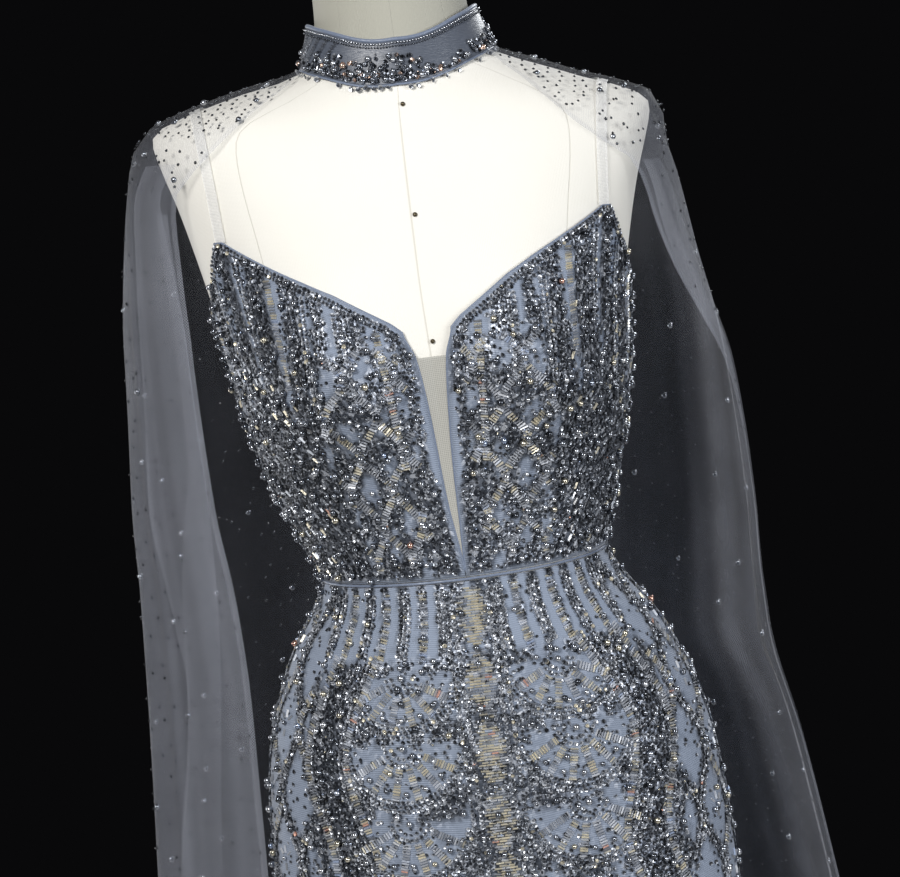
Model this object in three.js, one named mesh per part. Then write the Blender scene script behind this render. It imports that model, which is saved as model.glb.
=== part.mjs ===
// Beaded evening gown with a plunging bodice, a standing collar and a sheer floor-length cape,
// worn on a limbless dress form with a pole and a round base.
//
// Millimetres, +Z up. The figure faces -Y, so the wearer's left is +X. The origin is on the floor, in the
// middle of the base. Every piece of cloth is a wall laid on a surface of two numbers: `across`, which
// runs anticlockwise seen from above, and `along`, which runs upwards.

import * as THREE from 'three';

// ---------- Driving dimensions ----------

const WAIST = 1050; // height of the waist seam above the floor
const SEAM_GAP = 0.3; // between two pieces sewn edge to edge
const GOWN_CLEAR = 1.5; // between the form and the inside of the gown
const GOWN_WALL = 1.6;
const STRAP_CLEAR = 0.9;
const STRAP_WALL = 1.0;
const STRAP_WIDTH = 8;
const CAPE_CLEAR = 3.2; // the cape passes over the straps
const CAPE_WALL = 1.0;
const COLLAR_WALL = 2.0;
const COLLAR_CLEAR = 1.2;
const PIPING_WIDTH = 2.8;
const PIPING_WALL = 2.6;
const HEM = 18 - WAIST; // the skirt's hem, 18 mm off the floor, measured from the waist
const CAPE_HEM = 14 - WAIST;
const FORM_BOTTOM = -330;
const FORM_TOP = 480;
const HIP = -222; // the fullest part of the hips, where the skirt leaves the form
const SHOULDER = 350; // the tip of the shoulder, where the cape leaves the form
const INSERT_TOP = 170;
const INSERT_POINT = 14;
const CAPE_SEAT = 1.0; // how far outside the collar's inner face the cape's top edge is set on the form

// Rings of the figure. up: height above the waist. half: half the width. front and back: depths from the
// middle. power: 2 is an ellipse, more is squarer, less is more pointed at the sides.
const BODY = [
  { up: -330, half: 168, front: 104, back: 116, power: 2.2 },
  { up: -270, half: 176, front: 111, back: 126, power: 2.15 },
  { up: -222, half: 178, front: 114, back: 130, power: 2.1 },
  { up: -170, half: 174, front: 115, back: 128, power: 2.1 },
  { up: -120, half: 166, front: 114, back: 120, power: 2.1 },
  { up: -80, half: 151, front: 110, back: 110, power: 2.1 },
  { up: -50, half: 135, front: 105, back: 101, power: 2.05 },
  { up: -20, half: 116, front: 100, back: 94, power: 2 },
  { up: 0, half: 110, front: 98, back: 92, power: 2 },
  { up: 35, half: 121, front: 99, back: 93, power: 2 },
  { up: 85, half: 137, front: 103, back: 98, power: 2 },
  { up: 142, half: 150, front: 107, back: 105, power: 2.05 },
  { up: 201, half: 158, front: 109, back: 110, power: 2.1 },
  { up: 250, half: 168, front: 103, back: 113, power: 2.15 },
  { up: 291, half: 178, front: 95, back: 111, power: 2.15 },
  { up: 320, half: 187, front: 87, back: 106, power: 2.05 },
  { up: 340, half: 192, front: 79, back: 98, power: 1.9 },
  { up: 350, half: 190, front: 75, back: 93, power: 1.75 },
  { up: 356, half: 178, front: 73, back: 90, power: 1.68 },
  { up: 363, half: 160, front: 70, back: 87, power: 1.6 },
  { up: 370, half: 137, front: 66.5, back: 83, power: 1.55 },
  { up: 376, half: 119, front: 64, back: 79, power: 1.52 },
  { up: 382, half: 98, front: 61.8, back: 76, power: 1.55 },
  { up: 386, half: 84, front: 60.6, back: 74, power: 1.62 },
  { up: 390, half: 75, front: 59.6, back: 72.5, power: 1.75 },
  { up: 394, half: 69, front: 58.8, back: 70.5, power: 1.85 },
  { up: 400, half: 65, front: 57.5, back: 67, power: 1.95 },
  { up: 410, half: 62, front: 55.5, back: 61, power: 2 },
  { up: 430, half: 59, front: 54, back: 57, power: 2 },
  { up: 480, half: 57, front: 53, back: 55, power: 2 },
];

// The figure stands a little askew: how far each height leans to the wearer's left, or below 0 to the
// right.
const LEAN = [
  { up: -1050, aside: 0 },
  { up: -222, aside: 1.5 },
  { up: 0, aside: -1 },
  { up: 70, aside: -4.5 },
  { up: 160, aside: -6 },
  { up: 230, aside: -8 },
  { up: 350, aside: -7 },
  { up: 400, aside: -4 },
  { up: 500, aside: -6 },
];
// The wearer's left shoulder hangs lower than the right: the slope, and where it sets in, aside and
// upwards.
const SHOULDER_DROP = { slope: 0.047, aside: [60, 140], up: [180, 340] };

// The fullness of the bust: how far each side swells forward, where, and how far it spreads.
const BUST = { swell: 35, aside: 73, up: 152, spreadAside: 47, spreadUp: 60 };

// Rings of the skirt below the hips, as for the figure.
const SKIRT = [
  { up: -270, half: 179, front: 117, back: 132, power: 2.1 },
  { up: -350, half: 179, front: 120, back: 134, power: 2.05 },
  { up: -450, half: 176, front: 124, back: 134, power: 2 },
  { up: -560, half: 180, front: 136, back: 142, power: 2 },
  { up: -700, half: 204, front: 164, back: 170, power: 2 },
  { up: -860, half: 244, front: 206, back: 216, power: 2 },
  { up: -1040, half: 292, front: 254, back: 268, power: 2 },
];
// Soft folds that open towards the hem: how many go round, where they start, and their share of the depth.
const SKIRT_FOLDS = { start: -480, depth: 12 };
const SKIRT_WAVES = [
  { count: 8, start: 0.4, share: 0.7 },
  { count: 5, start: 1, share: 0.3 },
];
// Heights of the rows of corners in a panel of the skirt, above the hem and below the waist seam.
const SKIRT_ROWS = [-940, -850, -770, -690, -610, -520, -420, -330, -270, HIP, -170, -120, -80, -45];

// Top edge of each cup from the plunge to the side seam: turn in degrees from the middle of the front.
const CUP_TOP = [
  { turn: 7, up: 190 },
  { turn: 9.6, up: 197 },
  { turn: 15.6, up: 208 },
  { turn: 23, up: 222 },
  { turn: 31, up: 234 },
  { turn: 39, up: 245 },
  { turn: 48, up: 257 },
  { turn: 55.6, up: 267 },
  { turn: 59.4, up: 267 },
  { turn: 66, up: 244 },
  { turn: 77, up: 220 },
  { turn: 90, up: 205 },
];

// Top edge of each back, from the side seam to the centre back.
const BACK_TOP = [
  { turn: 90, up: 205 },
  { turn: 105, up: 205 },
  { turn: 120, up: 209 },
  { turn: 134.5, up: 220 },
  { turn: 138.5, up: 220 },
  { turn: 150, up: 208 },
  { turn: 165, up: 198 },
  { turn: 180, up: 195 },
];

// Half the width of the plunge, from its point at the waist to the corners of the neckline.
const PLUNGE = [
  { up: 0, aside: 0.15 },
  { up: INSERT_POINT, aside: 0.7 },
  { up: 52, aside: 3.5 },
  { up: 115, aside: 7 },
  { up: 170, aside: 12.5 },
  { up: 190, aside: 19 },
  { up: 280, aside: 19 },
];

// A strap's distance from the middle at the cup, on top of the shoulder and at the back, and the heights
// of its ends.
const STRAP = { cup: 144, cupUp: 267, top: 158, back: 108, backUp: 220 };

// Rings of the cape where it hangs free. right and left: half-width on the wearer's right and left.
const CAPE = [
  { up: -1040, right: 338, left: 344, front: 92, back: 322, power: 2 },
  { up: -700, right: 306, left: 308, front: 84, back: 262, power: 2 },
  { up: -450, right: 284, left: 280, front: 78, back: 222, power: 2 },
  { up: -279, right: 269, left: 259, front: 76, back: 198, power: 2 },
  { up: -170, right: 260, left: 244, front: 76, back: 184, power: 2 },
  { up: -97, right: 254, left: 232, front: 76, back: 174, power: 2 },
  { up: -35, right: 249, left: 228, front: 76, back: 166, power: 2 },
  { up: 61, right: 241, left: 230, front: 77, back: 154, power: 2 },
  { up: 121, right: 235, left: 227, front: 78, back: 146, power: 2 },
  { up: 165, right: 231, left: 222, front: 78, back: 139, power: 2 },
  { up: 213, right: 226, left: 214, front: 78, back: 131, power: 2 },
  { up: 284, right: 215, left: 204, front: 80, back: 118, power: 2 },
  { up: 316, right: 208, left: 198, front: 83, back: 110, power: 2 },
  { up: 338, right: 201, left: 197, front: 84, back: 101, power: 1.9 },
];

// The cape's two front edges: distance from the middle, on the wearer's right and left.
const CAPE_EDGE = [
  { up: -1040, right: 306, left: 334 },
  { up: -860, right: 262, left: 316 },
  { up: -700, right: 226, left: 300 },
  { up: -450, right: 196, left: 277 },
  { up: -279, right: 187, left: 257 },
  { up: -168, right: 182, left: 242 },
  { up: -60, right: 177, left: 228 },
  { up: 0, right: 178, left: 226 },
  { up: 61, right: 181, left: 225 },
  { up: 125, right: 181, left: 218 },
  { up: 171, right: 180, left: 204 },
  { up: 205, right: 178, left: 193 },
  { up: 245, right: 177, left: 183 },
  { up: 300, right: 174, left: 170 },
  { up: 320, right: 156, left: 146 },
  { up: 341, right: 130, left: 120 },
  { up: 364, right: 102, left: 94 },
  { up: 382, right: 78, left: 73 },
  { up: 400, right: 66, left: 64 },
];

// Depth of the cape's folds at each height.
const CAPE_FOLDS = [
  { up: -1040, depth: 15 },
  { up: -500, depth: 11 },
  { up: -100, depth: 7 },
  { up: 150, depth: 4 },
  { up: 300, depth: 1 },
  { up: SHOULDER, depth: 0 },
];
const CAPE_WAVES = [
  { count: 7, start: 0.6, share: 0.6 },
  { count: 11, start: 2.1, share: 0.4 },
];
// Heights of the cape's rows of corners between the hem and the shoulder, then shares of the way to the
// collar.
const CAPE_ROWS = [-920, -800, -680, -560, -450, -350, -250, -160, -70, 20, 100, 165, 220, 270, 306, 332];
const YOKE_ROWS = [1, 1.15, 1.3, 1.45, 1.6, 1.73, 1.87, 2];

// Inside of the collar, at its bottom and top edges.
const COLLAR = {
  bottom: { half: 73.7, front: 66.5, back: 71 },
  top: { half: 63.5, front: 57.5, back: 60 },
  height: { front: 35, side: 34 },
};
const BUTTON = { radius: 5, backRadius: 4.5, edge: 1, thickness: 3.6, rises: [0.3, 0.7] };
const ZIP_SLIDER = { width: 5, length: 18, thickness: 1.6, up: 180 };

const NECK_CAP = { height: 8, rim: 2, inset: 1 };
const POLE = { radius: 16, flangeRadius: 55, flangeHeight: 12 };
const BASE = { radius: 190, bevel: 2, edge: 10, step: 6, height: 24, floor: 20 };
const BOSS = { radius: 28, foot: 12, height: 64 }; // the socket on the base that holds the pole
const ROUND = 32; // sides of a turned piece
const FORM_SIDES = 48;
// Heights of the form's rings, closer together over the shoulders.
const FORM_RINGS = [
  ...[FORM_BOTTOM, -270, HIP, -170, -145, -120, -98, -78, -60, -42, -24, -8, 0, 14, 32, 55, 80],
  ...[102, 124, 144, 160, 175, 190, 205, 220, 238, 258, 278, 295, 310, 323, 334, 342, 350],
  ...[356, 363, 370, 376, 382, 386, 390, 394, 397, 400, 405, 410, 420, 440, FORM_TOP],
];
const NECK_SEARCH = { high: 430, low: 345 }; // the heights between which the shoulders slope up to the neck

// ---------- Reading the tables ----------

const radians = THREE.MathUtils.degToRad;
const lerp = THREE.MathUtils.lerp;

/**
 * Value of a column at a place between the rows, on a smooth curve through them. `key` is the column of
 * places.
 */
function reading(rows, column, place, key = 'up') {
  let next = rows.findIndex((row) => row[key] > place);
  if (next === -1) next = rows.length - 1;
  if (next === 0) next = 1;
  const slope = (index) => {
    const before = rows[Math.max(index - 1, 0)];
    const after = rows[Math.min(index + 1, rows.length - 1)];
    return (after[column] - before[column]) / (after[key] - before[key]);
  };
  const low = rows[next - 1];
  const high = rows[next];
  const span = high[key] - low[key];
  const t = THREE.MathUtils.clamp((place - low[key]) / span, -0.1, 1.1);
  const rise = (high[column] - low[column]) / span;
  // Slopes are held to three times the local rise, so that the curve never overshoots the rows.
  const steepest = 3 * Math.abs(rise);
  const held = (value) => (rise * value <= 0 ? 0 : THREE.MathUtils.clamp(value, -steepest, steepest));
  const a = held(slope(next - 1)) * span;
  const b = held(slope(next)) * span;
  const drop = low[column] - high[column];
  return low[column] + t * (a + t * (-3 * drop - 2 * a - b + t * (2 * drop + a + b)));
}

/** Value of a column on straight lines between the rows. */
function straight(rows, column, place, key = 'up') {
  const next = Math.max(1, rows.findIndex((row) => row[key] >= place));
  const low = rows[next - 1];
  const high = rows[next];
  const t = THREE.MathUtils.clamp((place - low[key]) / (high[key] - low[key]), 0, 1);
  return lerp(low[column], high[column], t);
}

const byHeight = (first, second) => first.up - second.up;
const GOWN = [...SKIRT, ...BODY.filter((row) => row.up >= HIP)].sort(byHeight);
const CAPE_RINGS = [
  ...CAPE,
  ...BODY.filter((row) => row.up >= SHOULDER).map((row) => ({ ...row, right: row.half, left: row.half })),
].sort(byHeight);

// ---------- Surfaces ----------

const signedPower = (value, power) => Math.sign(value) * Math.abs(value) ** power;

/** Point of a ring: turn is in radians from the middle of the front, anticlockwise seen from above. */
function ringPoint(ring, turn, up) {
  const depth = Math.cos(turn) > 0 ? ring.front : ring.back;
  const bend = 2 / ring.power;
  const x = ring.half * signedPower(Math.sin(turn), bend);
  const y = -depth * signedPower(Math.cos(turn), bend);
  return new THREE.Vector3(x, y, WAIST + up);
}

function ringAt(rows, up, halfColumn = 'half') {
  return {
    half: reading(rows, halfColumn, up),
    front: reading(rows, 'front', up),
    back: reading(rows, 'back', up),
    power: reading(rows, 'power', up),
  };
}

/** Turn at which a ring is `aside` from the middle, on its front half. */
function turnAt(ring, aside) {
  const share = Math.min(aside / ring.half, 1);
  return Math.asin(share ** (ring.power / 2));
}

function bustSwell(x, turn, up) {
  const aside = (Math.abs(x) - BUST.aside) / BUST.spreadAside;
  const rise = (up - BUST.up) / BUST.spreadUp;
  const facing = THREE.MathUtils.smoothstep(Math.cos(turn), 0, 0.4);
  return BUST.swell * facing * Math.exp(-aside * aside - rise * rise);
}

function figure(rows, turn, up) {
  const point = ringPoint(ringAt(rows, up), turn, up);
  point.y -= bustSwell(point.x, turn, up);
  return point;
}

/** Height of a sum of waves, from -1 to 1. */
const waveSum = (waves, turn) =>
  waves.reduce((sum, wave) => sum + wave.share * Math.cos(wave.count * turn + wave.start), 0);

/** Pushes a point outwards from the middle, along its turn. */
function pushed(point, turn, push) {
  point.x += push * Math.sin(turn);
  point.y -= push * Math.cos(turn);
  return point;
}

const bodySurface = (turn, up) => figure(BODY, turn, up);

/**
 * The gown lies on the figure down to the hips, then on the skirt's own rings, with folds towards the
 * hem.
 */
function gownSurface(turn, up) {
  const point = figure(GOWN, turn, up);
  const fall = THREE.MathUtils.clamp((SKIRT_FOLDS.start - up) / (SKIRT_FOLDS.start - HEM), 0, 1);
  return pushed(point, turn, SKIRT_FOLDS.depth * fall * fall * waveSum(SKIRT_WAVES, turn));
}

/** The height at which a test that holds low on the shoulders stops holding, going up to the neck. */
function heightWhere(test) {
  let above = NECK_SEARCH.high;
  let below = NECK_SEARCH.low;
  for (let step = 0; step < 40; step += 1) {
    const middle = (above + below) / 2;
    if (test(middle)) below = middle;
    else above = middle;
  }
  return below;
}

/** Height at which the figure's neck and shoulders are as wide as a point over them. */
function restHeight(x, y) {
  return heightWhere((up) => {
    const ring = ringAt(BODY, up);
    const depth = y < 0 ? ring.front : ring.back;
    return (Math.abs(x) / ring.half) ** ring.power + (Math.abs(y) / depth) ** ring.power <= 1;
  });
}

/** Outward normal of a surface, from the points a small step to each side. */
function outward(surface, across, along) {
  const step = 1e-3;
  const side = surface(across + step, along).sub(surface(across - step, along));
  const rise = surface(across, along + step).sub(surface(across, along - step));
  return side.cross(rise).normalize();
}

// ---------- Walls of cloth ----------

/**
 * Seams lie on the middle planes of the figure: each keeps a wall half a seam gap on its own side of one.
 */
const KEPT = {
  left: (point) => point.setX(Math.max(point.x, SEAM_GAP / 2)),
  right: (point) => point.setX(Math.min(point.x, -SEAM_GAP / 2)),
  front: (point) => point.setY(Math.min(point.y, -SEAM_GAP / 2)),
  back: (point) => point.setY(Math.max(point.y, SEAM_GAP / 2)),
  openBehind: (point, turn) => {
    if (Math.abs(turn) > radians(170)) (turn > 0 ? KEPT.left : KEPT.right)(point);
  },
};

/**
 * A wall of cloth on a surface: its inside is `clear` outside the surface, and it is `thick` thick.
 * acrossStops and alongStops are the places of its columns and rows, and `sides` are the names in KEPT
 * that hold it.
 */
function clothWall(surface, acrossStops, alongStops, { clear, thick, sides = [] }) {
  const columns = acrossStops.length;
  const rows = alongStops.length;
  const positions = [];
  for (const offset of [clear + thick, clear]) {
    for (const along of alongStops) {
      for (const across of acrossStops) {
        const point = surface(across, along).addScaledVector(outward(surface, across, along), offset);
        sides.forEach((side) => KEPT[side](point, across));
        positions.push(point.x, point.y, point.z);
      }
    }
  }
  const index = [];
  const layer = rows * columns;
  const corner = (place) => new THREE.Vector3().fromArray(positions, 3 * place);
  // A quad is split along the diagonal that stands further out, so that a full shape is never cut into.
  // On the inside of the cloth the quads face inwards, and `way` is -1.
  const quad = (a, b, c, d, way = 1) => {
    const across = corner(a).add(corner(c)).sub(corner(b)).sub(corner(d));
    const facing = corner(c).sub(corner(a)).cross(corner(d).sub(corner(b)));
    if (way * across.dot(facing) >= 0) index.push(a, b, c, a, c, d);
    else index.push(a, b, d, b, c, d);
  };
  const outer = (column, row) => row * columns + column;
  const inner = (column, row) => layer + outer(column, row);
  for (let row = 0; row < rows - 1; row += 1) {
    for (let column = 0; column < columns - 1; column += 1) {
      quad(outer(column, row), outer(column + 1, row), outer(column + 1, row + 1), outer(column, row + 1));
      const next = column + 1;
      quad(inner(column, row), inner(column, row + 1), inner(next, row + 1), inner(next, row), -1);
    }
  }
  for (let row = 0; row < rows - 1; row += 1) {
    quad(inner(0, row), outer(0, row), outer(0, row + 1), inner(0, row + 1));
    const last = columns - 1;
    quad(outer(last, row), inner(last, row), inner(last, row + 1), outer(last, row + 1));
  }
  for (let column = 0; column < columns - 1; column += 1) {
    quad(inner(column, 0), inner(column + 1, 0), outer(column + 1, 0), outer(column, 0));
    const last = rows - 1;
    quad(outer(column, last), outer(column + 1, last), inner(column + 1, last), inner(column, last));
  }
  return askew(solidFrom(positions, index));
}

/** Sets a finished shape askew, as the figure stands. */
function askew(geometry) {
  const places = geometry.attributes.position;
  const { smoothstep } = THREE.MathUtils;
  for (let place = 0; place < places.count; place += 1) {
    const x = places.getX(place);
    const up = places.getZ(place) - WAIST;
    const share = smoothstep(Math.abs(x), ...SHOULDER_DROP.aside) * smoothstep(up, ...SHOULDER_DROP.up);
    places.setX(place, x + reading(LEAN, 'aside', up));
    places.setZ(place, WAIST + up - SHOULDER_DROP.slope * x * share);
  }
  return geometry;
}

function solidFrom(positions, index) {
  const geometry = new THREE.BufferGeometry();
  geometry.setAttribute('position', new THREE.Float32BufferAttribute(positions, 3));
  geometry.setIndex(index);
  geometry.computeVertexNormals();
  return geometry;
}

/** Evenly spaced stops from `first` to `last`. */
function stops(first, last, steps) {
  return Array.from({ length: steps + 1 }, (_, index) => lerp(first, last, index / steps));
}

// ---------- Skirt ----------

const GOWN_CLOTH = { clear: GOWN_CLEAR, thick: GOWN_WALL };
const PIPING_EDGE = PIPING_WIDTH / 2 + 2 * SEAM_GAP; // from the waist to the nearest edge of bodice or skirt

function skirtPanel(first, last, steps, sides) {
  const heights = [HEM, ...SKIRT_ROWS, -PIPING_EDGE];
  return clothWall(gownSurface, stops(first, last, steps), heights, { ...GOWN_CLOTH, sides });
}

// ---------- Bodice ----------

const CUP_ROWS = 13;
const BACK_ROWS = 9;
const CUP_TURNS = [7, 11, 15.6, 20, 25, 30, 35, 40, 45, 50, 55.6, 59.4, 66, 73, 81, 90];
const BACK_TURNS = [90, 97, 105, 113, 121, 128, 134.5, 138.5, 147, 157, 168, 180];

/** Mirrors a surface about the middle of the figure, turning its across direction round with it. */
function mirrored(surface) {
  return (across, along) => {
    const point = surface(1 - across, along);
    point.x = -point.x;
    return point;
  };
}

const mirroredStops = (list) => list.map((stop) => 1 - stop).reverse();

/**
 * The wearer's left cup. across is 0 at the plunge and 1 at the side seam, along is 0 at the waist and 1
 * at the top.
 */
function cupSurface(across, along) {
  const corner = radians(CUP_TOP[0].turn);
  const side = Math.PI / 2;
  const topTurn = THREE.MathUtils.radToDeg(lerp(corner, side, across));
  const up = lerp(PIPING_EDGE, straight(CUP_TOP, 'up', topTurn, 'turn'), along);
  const first = turnAt(ringAt(BODY, up), reading(PLUNGE, 'aside', up));
  return bodySurface(lerp(first, side, across), up);
}

const cupStops = () => CUP_TURNS.map((turn) => (turn - CUP_TURNS[0]) / (90 - CUP_TURNS[0]));

/** The wearer's left back. across is 0 at the side seam and 1 at the centre back. */
function backSurface(across, along) {
  const turn = lerp(90, 180, across);
  const up = lerp(PIPING_EDGE, straight(BACK_TOP, 'up', turn, 'turn'), along);
  return bodySurface(radians(turn), up);
}

const backStops = () => BACK_TURNS.map((turn) => (turn - 90) / 90);

/** The mesh wedge between the cups, clear of each. */
function insertSurface(across, up) {
  const ring = ringAt(BODY, up);
  const edge = turnAt(ring, Math.max(reading(PLUNGE, 'aside', up) - 2 * SEAM_GAP, 0.2));
  return bodySurface(lerp(-edge, edge, across), up);
}

// ---------- Straps ----------

/**
 * A strap over the shoulder, on the side that `side` gives (1 is the wearer's left). along is 0 at the
 * cup, 1 on top of the shoulder and 2 at the back, and the steps shorten towards the top, where the
 * shoulder turns most.
 */
function strapSurface(side, across, along) {
  const toBack = along > 1;
  const down = Math.abs(1 - along);
  const middle = toBack ? lerp(STRAP.top, STRAP.back, down) : lerp(STRAP.top, STRAP.cup, down);
  const aside = middle + side * (across - 0.5) * STRAP_WIDTH;
  const crest = heightWhere((up) => ringAt(BODY, up).half >= aside);
  const end = (toBack ? STRAP.backUp : STRAP.cupUp) + SEAM_GAP;
  const up = lerp(crest, end, down * down);
  const turn = turnAt(ringAt(BODY, up), aside);
  const point = bodySurface(toBack ? Math.PI - turn : turn, up);
  point.x *= side;
  return point;
}

// ---------- Collar ----------

function collarRing(rise) {
  const { bottom, top } = COLLAR;
  return {
    half: lerp(bottom.half, top.half, rise),
    front: lerp(bottom.front, top.front, rise),
    back: lerp(bottom.back, top.back, rise),
    power: 2,
  };
}

/** The collar's bottom edge follows the root of the neck, so it dips in front. */
function collarBottom(turn) {
  const edge = ringPoint(collarRing(0), turn, 0);
  return restHeight(edge.x, edge.y) + COLLAR_CLEAR;
}

function collarSurface(turn, rise) {
  const facing = Math.max(Math.cos(turn), 0);
  const height = lerp(COLLAR.height.side, COLLAR.height.front, facing);
  return ringPoint(collarRing(rise), turn, collarBottom(turn) + height * rise);
}

function collarBand() {
  const cloth = { clear: 0, thick: COLLAR_WALL, sides: ['openBehind'] };
  return clothWall(collarSurface, stops(-Math.PI, Math.PI, 44), [0, 0.5, 1], cloth);
}

// ---------- Cape ----------

/** Turn of the cape's front edge on one side. */
function capeEdgeTurn(side, up) {
  const column = side > 0 ? 'left' : 'right';
  return turnAt(ringAt(CAPE_RINGS, up, column), reading(CAPE_EDGE, column, up));
}

function capePoint(side, share, up) {
  const turn = lerp(capeEdgeTurn(side, up), Math.PI, share);
  const point = ringPoint(ringAt(CAPE_RINGS, up, side > 0 ? 'left' : 'right'), turn, up);
  const depth = reading(CAPE_FOLDS, 'depth', Math.min(up, SHOULDER));
  pushed(point, turn, depth * waveSum(CAPE_WAVES, (turn - Math.PI) * side));
  point.x *= side;
  return point;
}

/** Height at which the cape, at one share of the way round, meets the outside of the collar. */
function capeTop(side, share) {
  const ring = collarRing(0);
  return heightWhere((up) => {
    const point = capePoint(side, share, up);
    const depth = (point.y < 0 ? ring.front : ring.back) + CAPE_SEAT;
    return Math.hypot(point.x / (ring.half + CAPE_SEAT), point.y / depth) >= 1;
  });
}

/**
 * One half of the cape. across runs from a front edge (0) to the centre back (1) on the wearer's left,
 * and the other way on the right. along is 0 at the hem, 1 at the shoulder's tip and 2 at the collar.
 */
function capeSurface(side, across, along) {
  const share = side > 0 ? across : 1 - across;
  const up = along < 1 ? lerp(CAPE_HEM, SHOULDER, along) : lerp(SHOULDER, capeTop(side, share), along - 1);
  return capePoint(side, share, up);
}

function capePanel(side) {
  const hanging = [CAPE_HEM, ...CAPE_ROWS].map((up) => (up - CAPE_HEM) / (SHOULDER - CAPE_HEM));
  const surface = (across, along) => capeSurface(side, across, along);
  const cloth = { clear: CAPE_CLEAR, thick: CAPE_WALL, sides: [side > 0 ? 'left' : 'right'] };
  return clothWall(surface, stops(0, 1, 18), [...hanging, ...YOKE_ROWS], cloth);
}

// ---------- Fastenings ----------

/** Places a small piece flat on a surface, its own +Z along the outward normal and its +Y up the cloth. */
function laidOn(geometry, surface, across, along, height) {
  const normal = outward(surface, across, along);
  const up = new THREE.Vector3(0, 0, 1).addScaledVector(normal, -normal.z).normalize();
  const sideways = new THREE.Vector3().crossVectors(up, normal);
  const place = new THREE.Matrix4().makeBasis(sideways, up, normal);
  place.setPosition(surface(across, along).addScaledVector(normal, height));
  return askew(geometry.applyMatrix4(place));
}

/** A covered button: a low dome with a flat back. */
function buttonShape() {
  const { radius, backRadius, edge, thickness } = BUTTON;
  const profile = [new THREE.Vector2(0, 0), new THREE.Vector2(backRadius, 0)];
  for (const angle of stops(0, Math.PI / 2, 4)) {
    profile.push(new THREE.Vector2(radius * Math.cos(angle), edge + (thickness - edge) * Math.sin(angle)));
  }
  profile[profile.length - 1].x = 0;
  return new THREE.LatheGeometry(profile, 16).rotateX(Math.PI / 2);
}

function zipSliderShape() {
  const { width, length, thickness } = ZIP_SLIDER;
  const half = width / 2;
  const outline = new THREE.Shape();
  outline.moveTo(-half, half);
  outline.absarc(0, length - half, half, Math.PI, 0, true);
  outline.absarc(0, half, half, 0, -Math.PI, true);
  const options = { depth: thickness, bevelEnabled: false, curveSegments: 8 };
  return new THREE.ExtrudeGeometry(outline, options).translate(0, -length, 0);
}

// ---------- Dress form ----------

function formTorso() {
  const positions = [];
  for (const up of FORM_RINGS) {
    for (let step = 0; step < FORM_SIDES; step += 1) {
      positions.push(...bodySurface((2 * Math.PI * step) / FORM_SIDES, up).toArray());
    }
  }
  positions.push(0, 0, WAIST + FORM_BOTTOM, 0, 0, WAIST + FORM_TOP);
  const bottom = FORM_RINGS.length * FORM_SIDES;
  const top = bottom + 1;
  const last = bottom - FORM_SIDES;
  const index = [];
  for (let step = 0; step < FORM_SIDES; step += 1) {
    const next = (step + 1) % FORM_SIDES;
    for (let low = 0; low < last; low += FORM_SIDES) {
      const high = low + FORM_SIDES;
      index.push(low + step, low + next, high + next, low + step, high + next, high + step);
    }
    index.push(bottom, next, step, top, last + step, last + next);
  }
  return askew(solidFrom(positions, index));
}

function turned(profile) {
  const points = profile.map(([x, y]) => new THREE.Vector2(x, y));
  return new THREE.LatheGeometry(points, ROUND).rotateX(Math.PI / 2);
}

function neckCap() {
  const { half, front, back } = ringAt(BODY, FORM_TOP);
  const depth = (front + back) / 2;
  const radius = half - NECK_CAP.inset;
  const cap = turned([
    [0, 0],
    [radius, 0],
    [radius, NECK_CAP.height - NECK_CAP.rim],
    [radius - NECK_CAP.rim, NECK_CAP.height],
    [0, NECK_CAP.height],
  ]);
  return askew(cap.scale(1, depth / half, 1).translate(0, (back - front) / 2, WAIST + FORM_TOP + SEAM_GAP));
}

function pole() {
  const bottom = BASE.floor + SEAM_GAP;
  const top = WAIST + FORM_BOTTOM - SEAM_GAP;
  return turned([
    [0, bottom],
    [POLE.radius, bottom],
    [POLE.radius, top - POLE.flangeHeight],
    [POLE.flangeRadius, top - POLE.flangeHeight / 2],
    [POLE.flangeRadius, top],
    [0, top],
  ]);
}

function base() {
  const socket = POLE.radius + SEAM_GAP;
  return turned([
    [0, 0],
    [BASE.radius - BASE.bevel, 0],
    [BASE.radius, BASE.bevel],
    [BASE.radius, BASE.edge],
    [BASE.radius - BASE.step, BASE.edge + BASE.step],
    [BOSS.radius + BOSS.foot, BASE.height],
    [BOSS.radius, BASE.height + BOSS.foot],
    [BOSS.radius, BOSS.height],
    [socket, BOSS.height],
    [socket, BASE.floor],
    [0, BASE.floor],
  ]);
}

// ---------- Finishes ----------

function finish(color, roughness, metalness, extra = {}) {
  return new THREE.MeshStandardMaterial({ color, roughness, metalness, ...extra });
}

const FINISHES = {
  beaded: finish(0x7d8696, 0.45, 0.3),
  satin: finish(0x6e7687, 0.35, 0.1),
  piping: finish(0xa9b8cc, 0.5, 0),
  nudeMesh: finish(0xe8e4da, 0.8, 0),
  sheer: finish(0x8a8f9c, 0.7, 0, { transparent: true, opacity: 0.4 }),
  strap: finish(0xe6e5ea, 0.7, 0),
  formCloth: finish(0xf2f0ea, 0.9, 0),
  metal: finish(0x9a9ca0, 0.3, 1),
  baseMetal: finish(0x2c2d30, 0.5, 0.8),
};

// ---------- Assembly ----------

const dressOnForm = new THREE.Group();

function add(name, geometry, material) {
  const mesh = new THREE.Mesh(geometry, material);
  mesh.name = name;
  dressOnForm.add(mesh);
  return mesh;
}

function addForm() {
  add('form_torso', formTorso(), FINISHES.formCloth);
  add('form_neck_cap', neckCap(), FINISHES.formCloth);
  add('form_pole', pole(), FINISHES.metal);
  add('form_base', base(), FINISHES.baseMetal);
}

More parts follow.
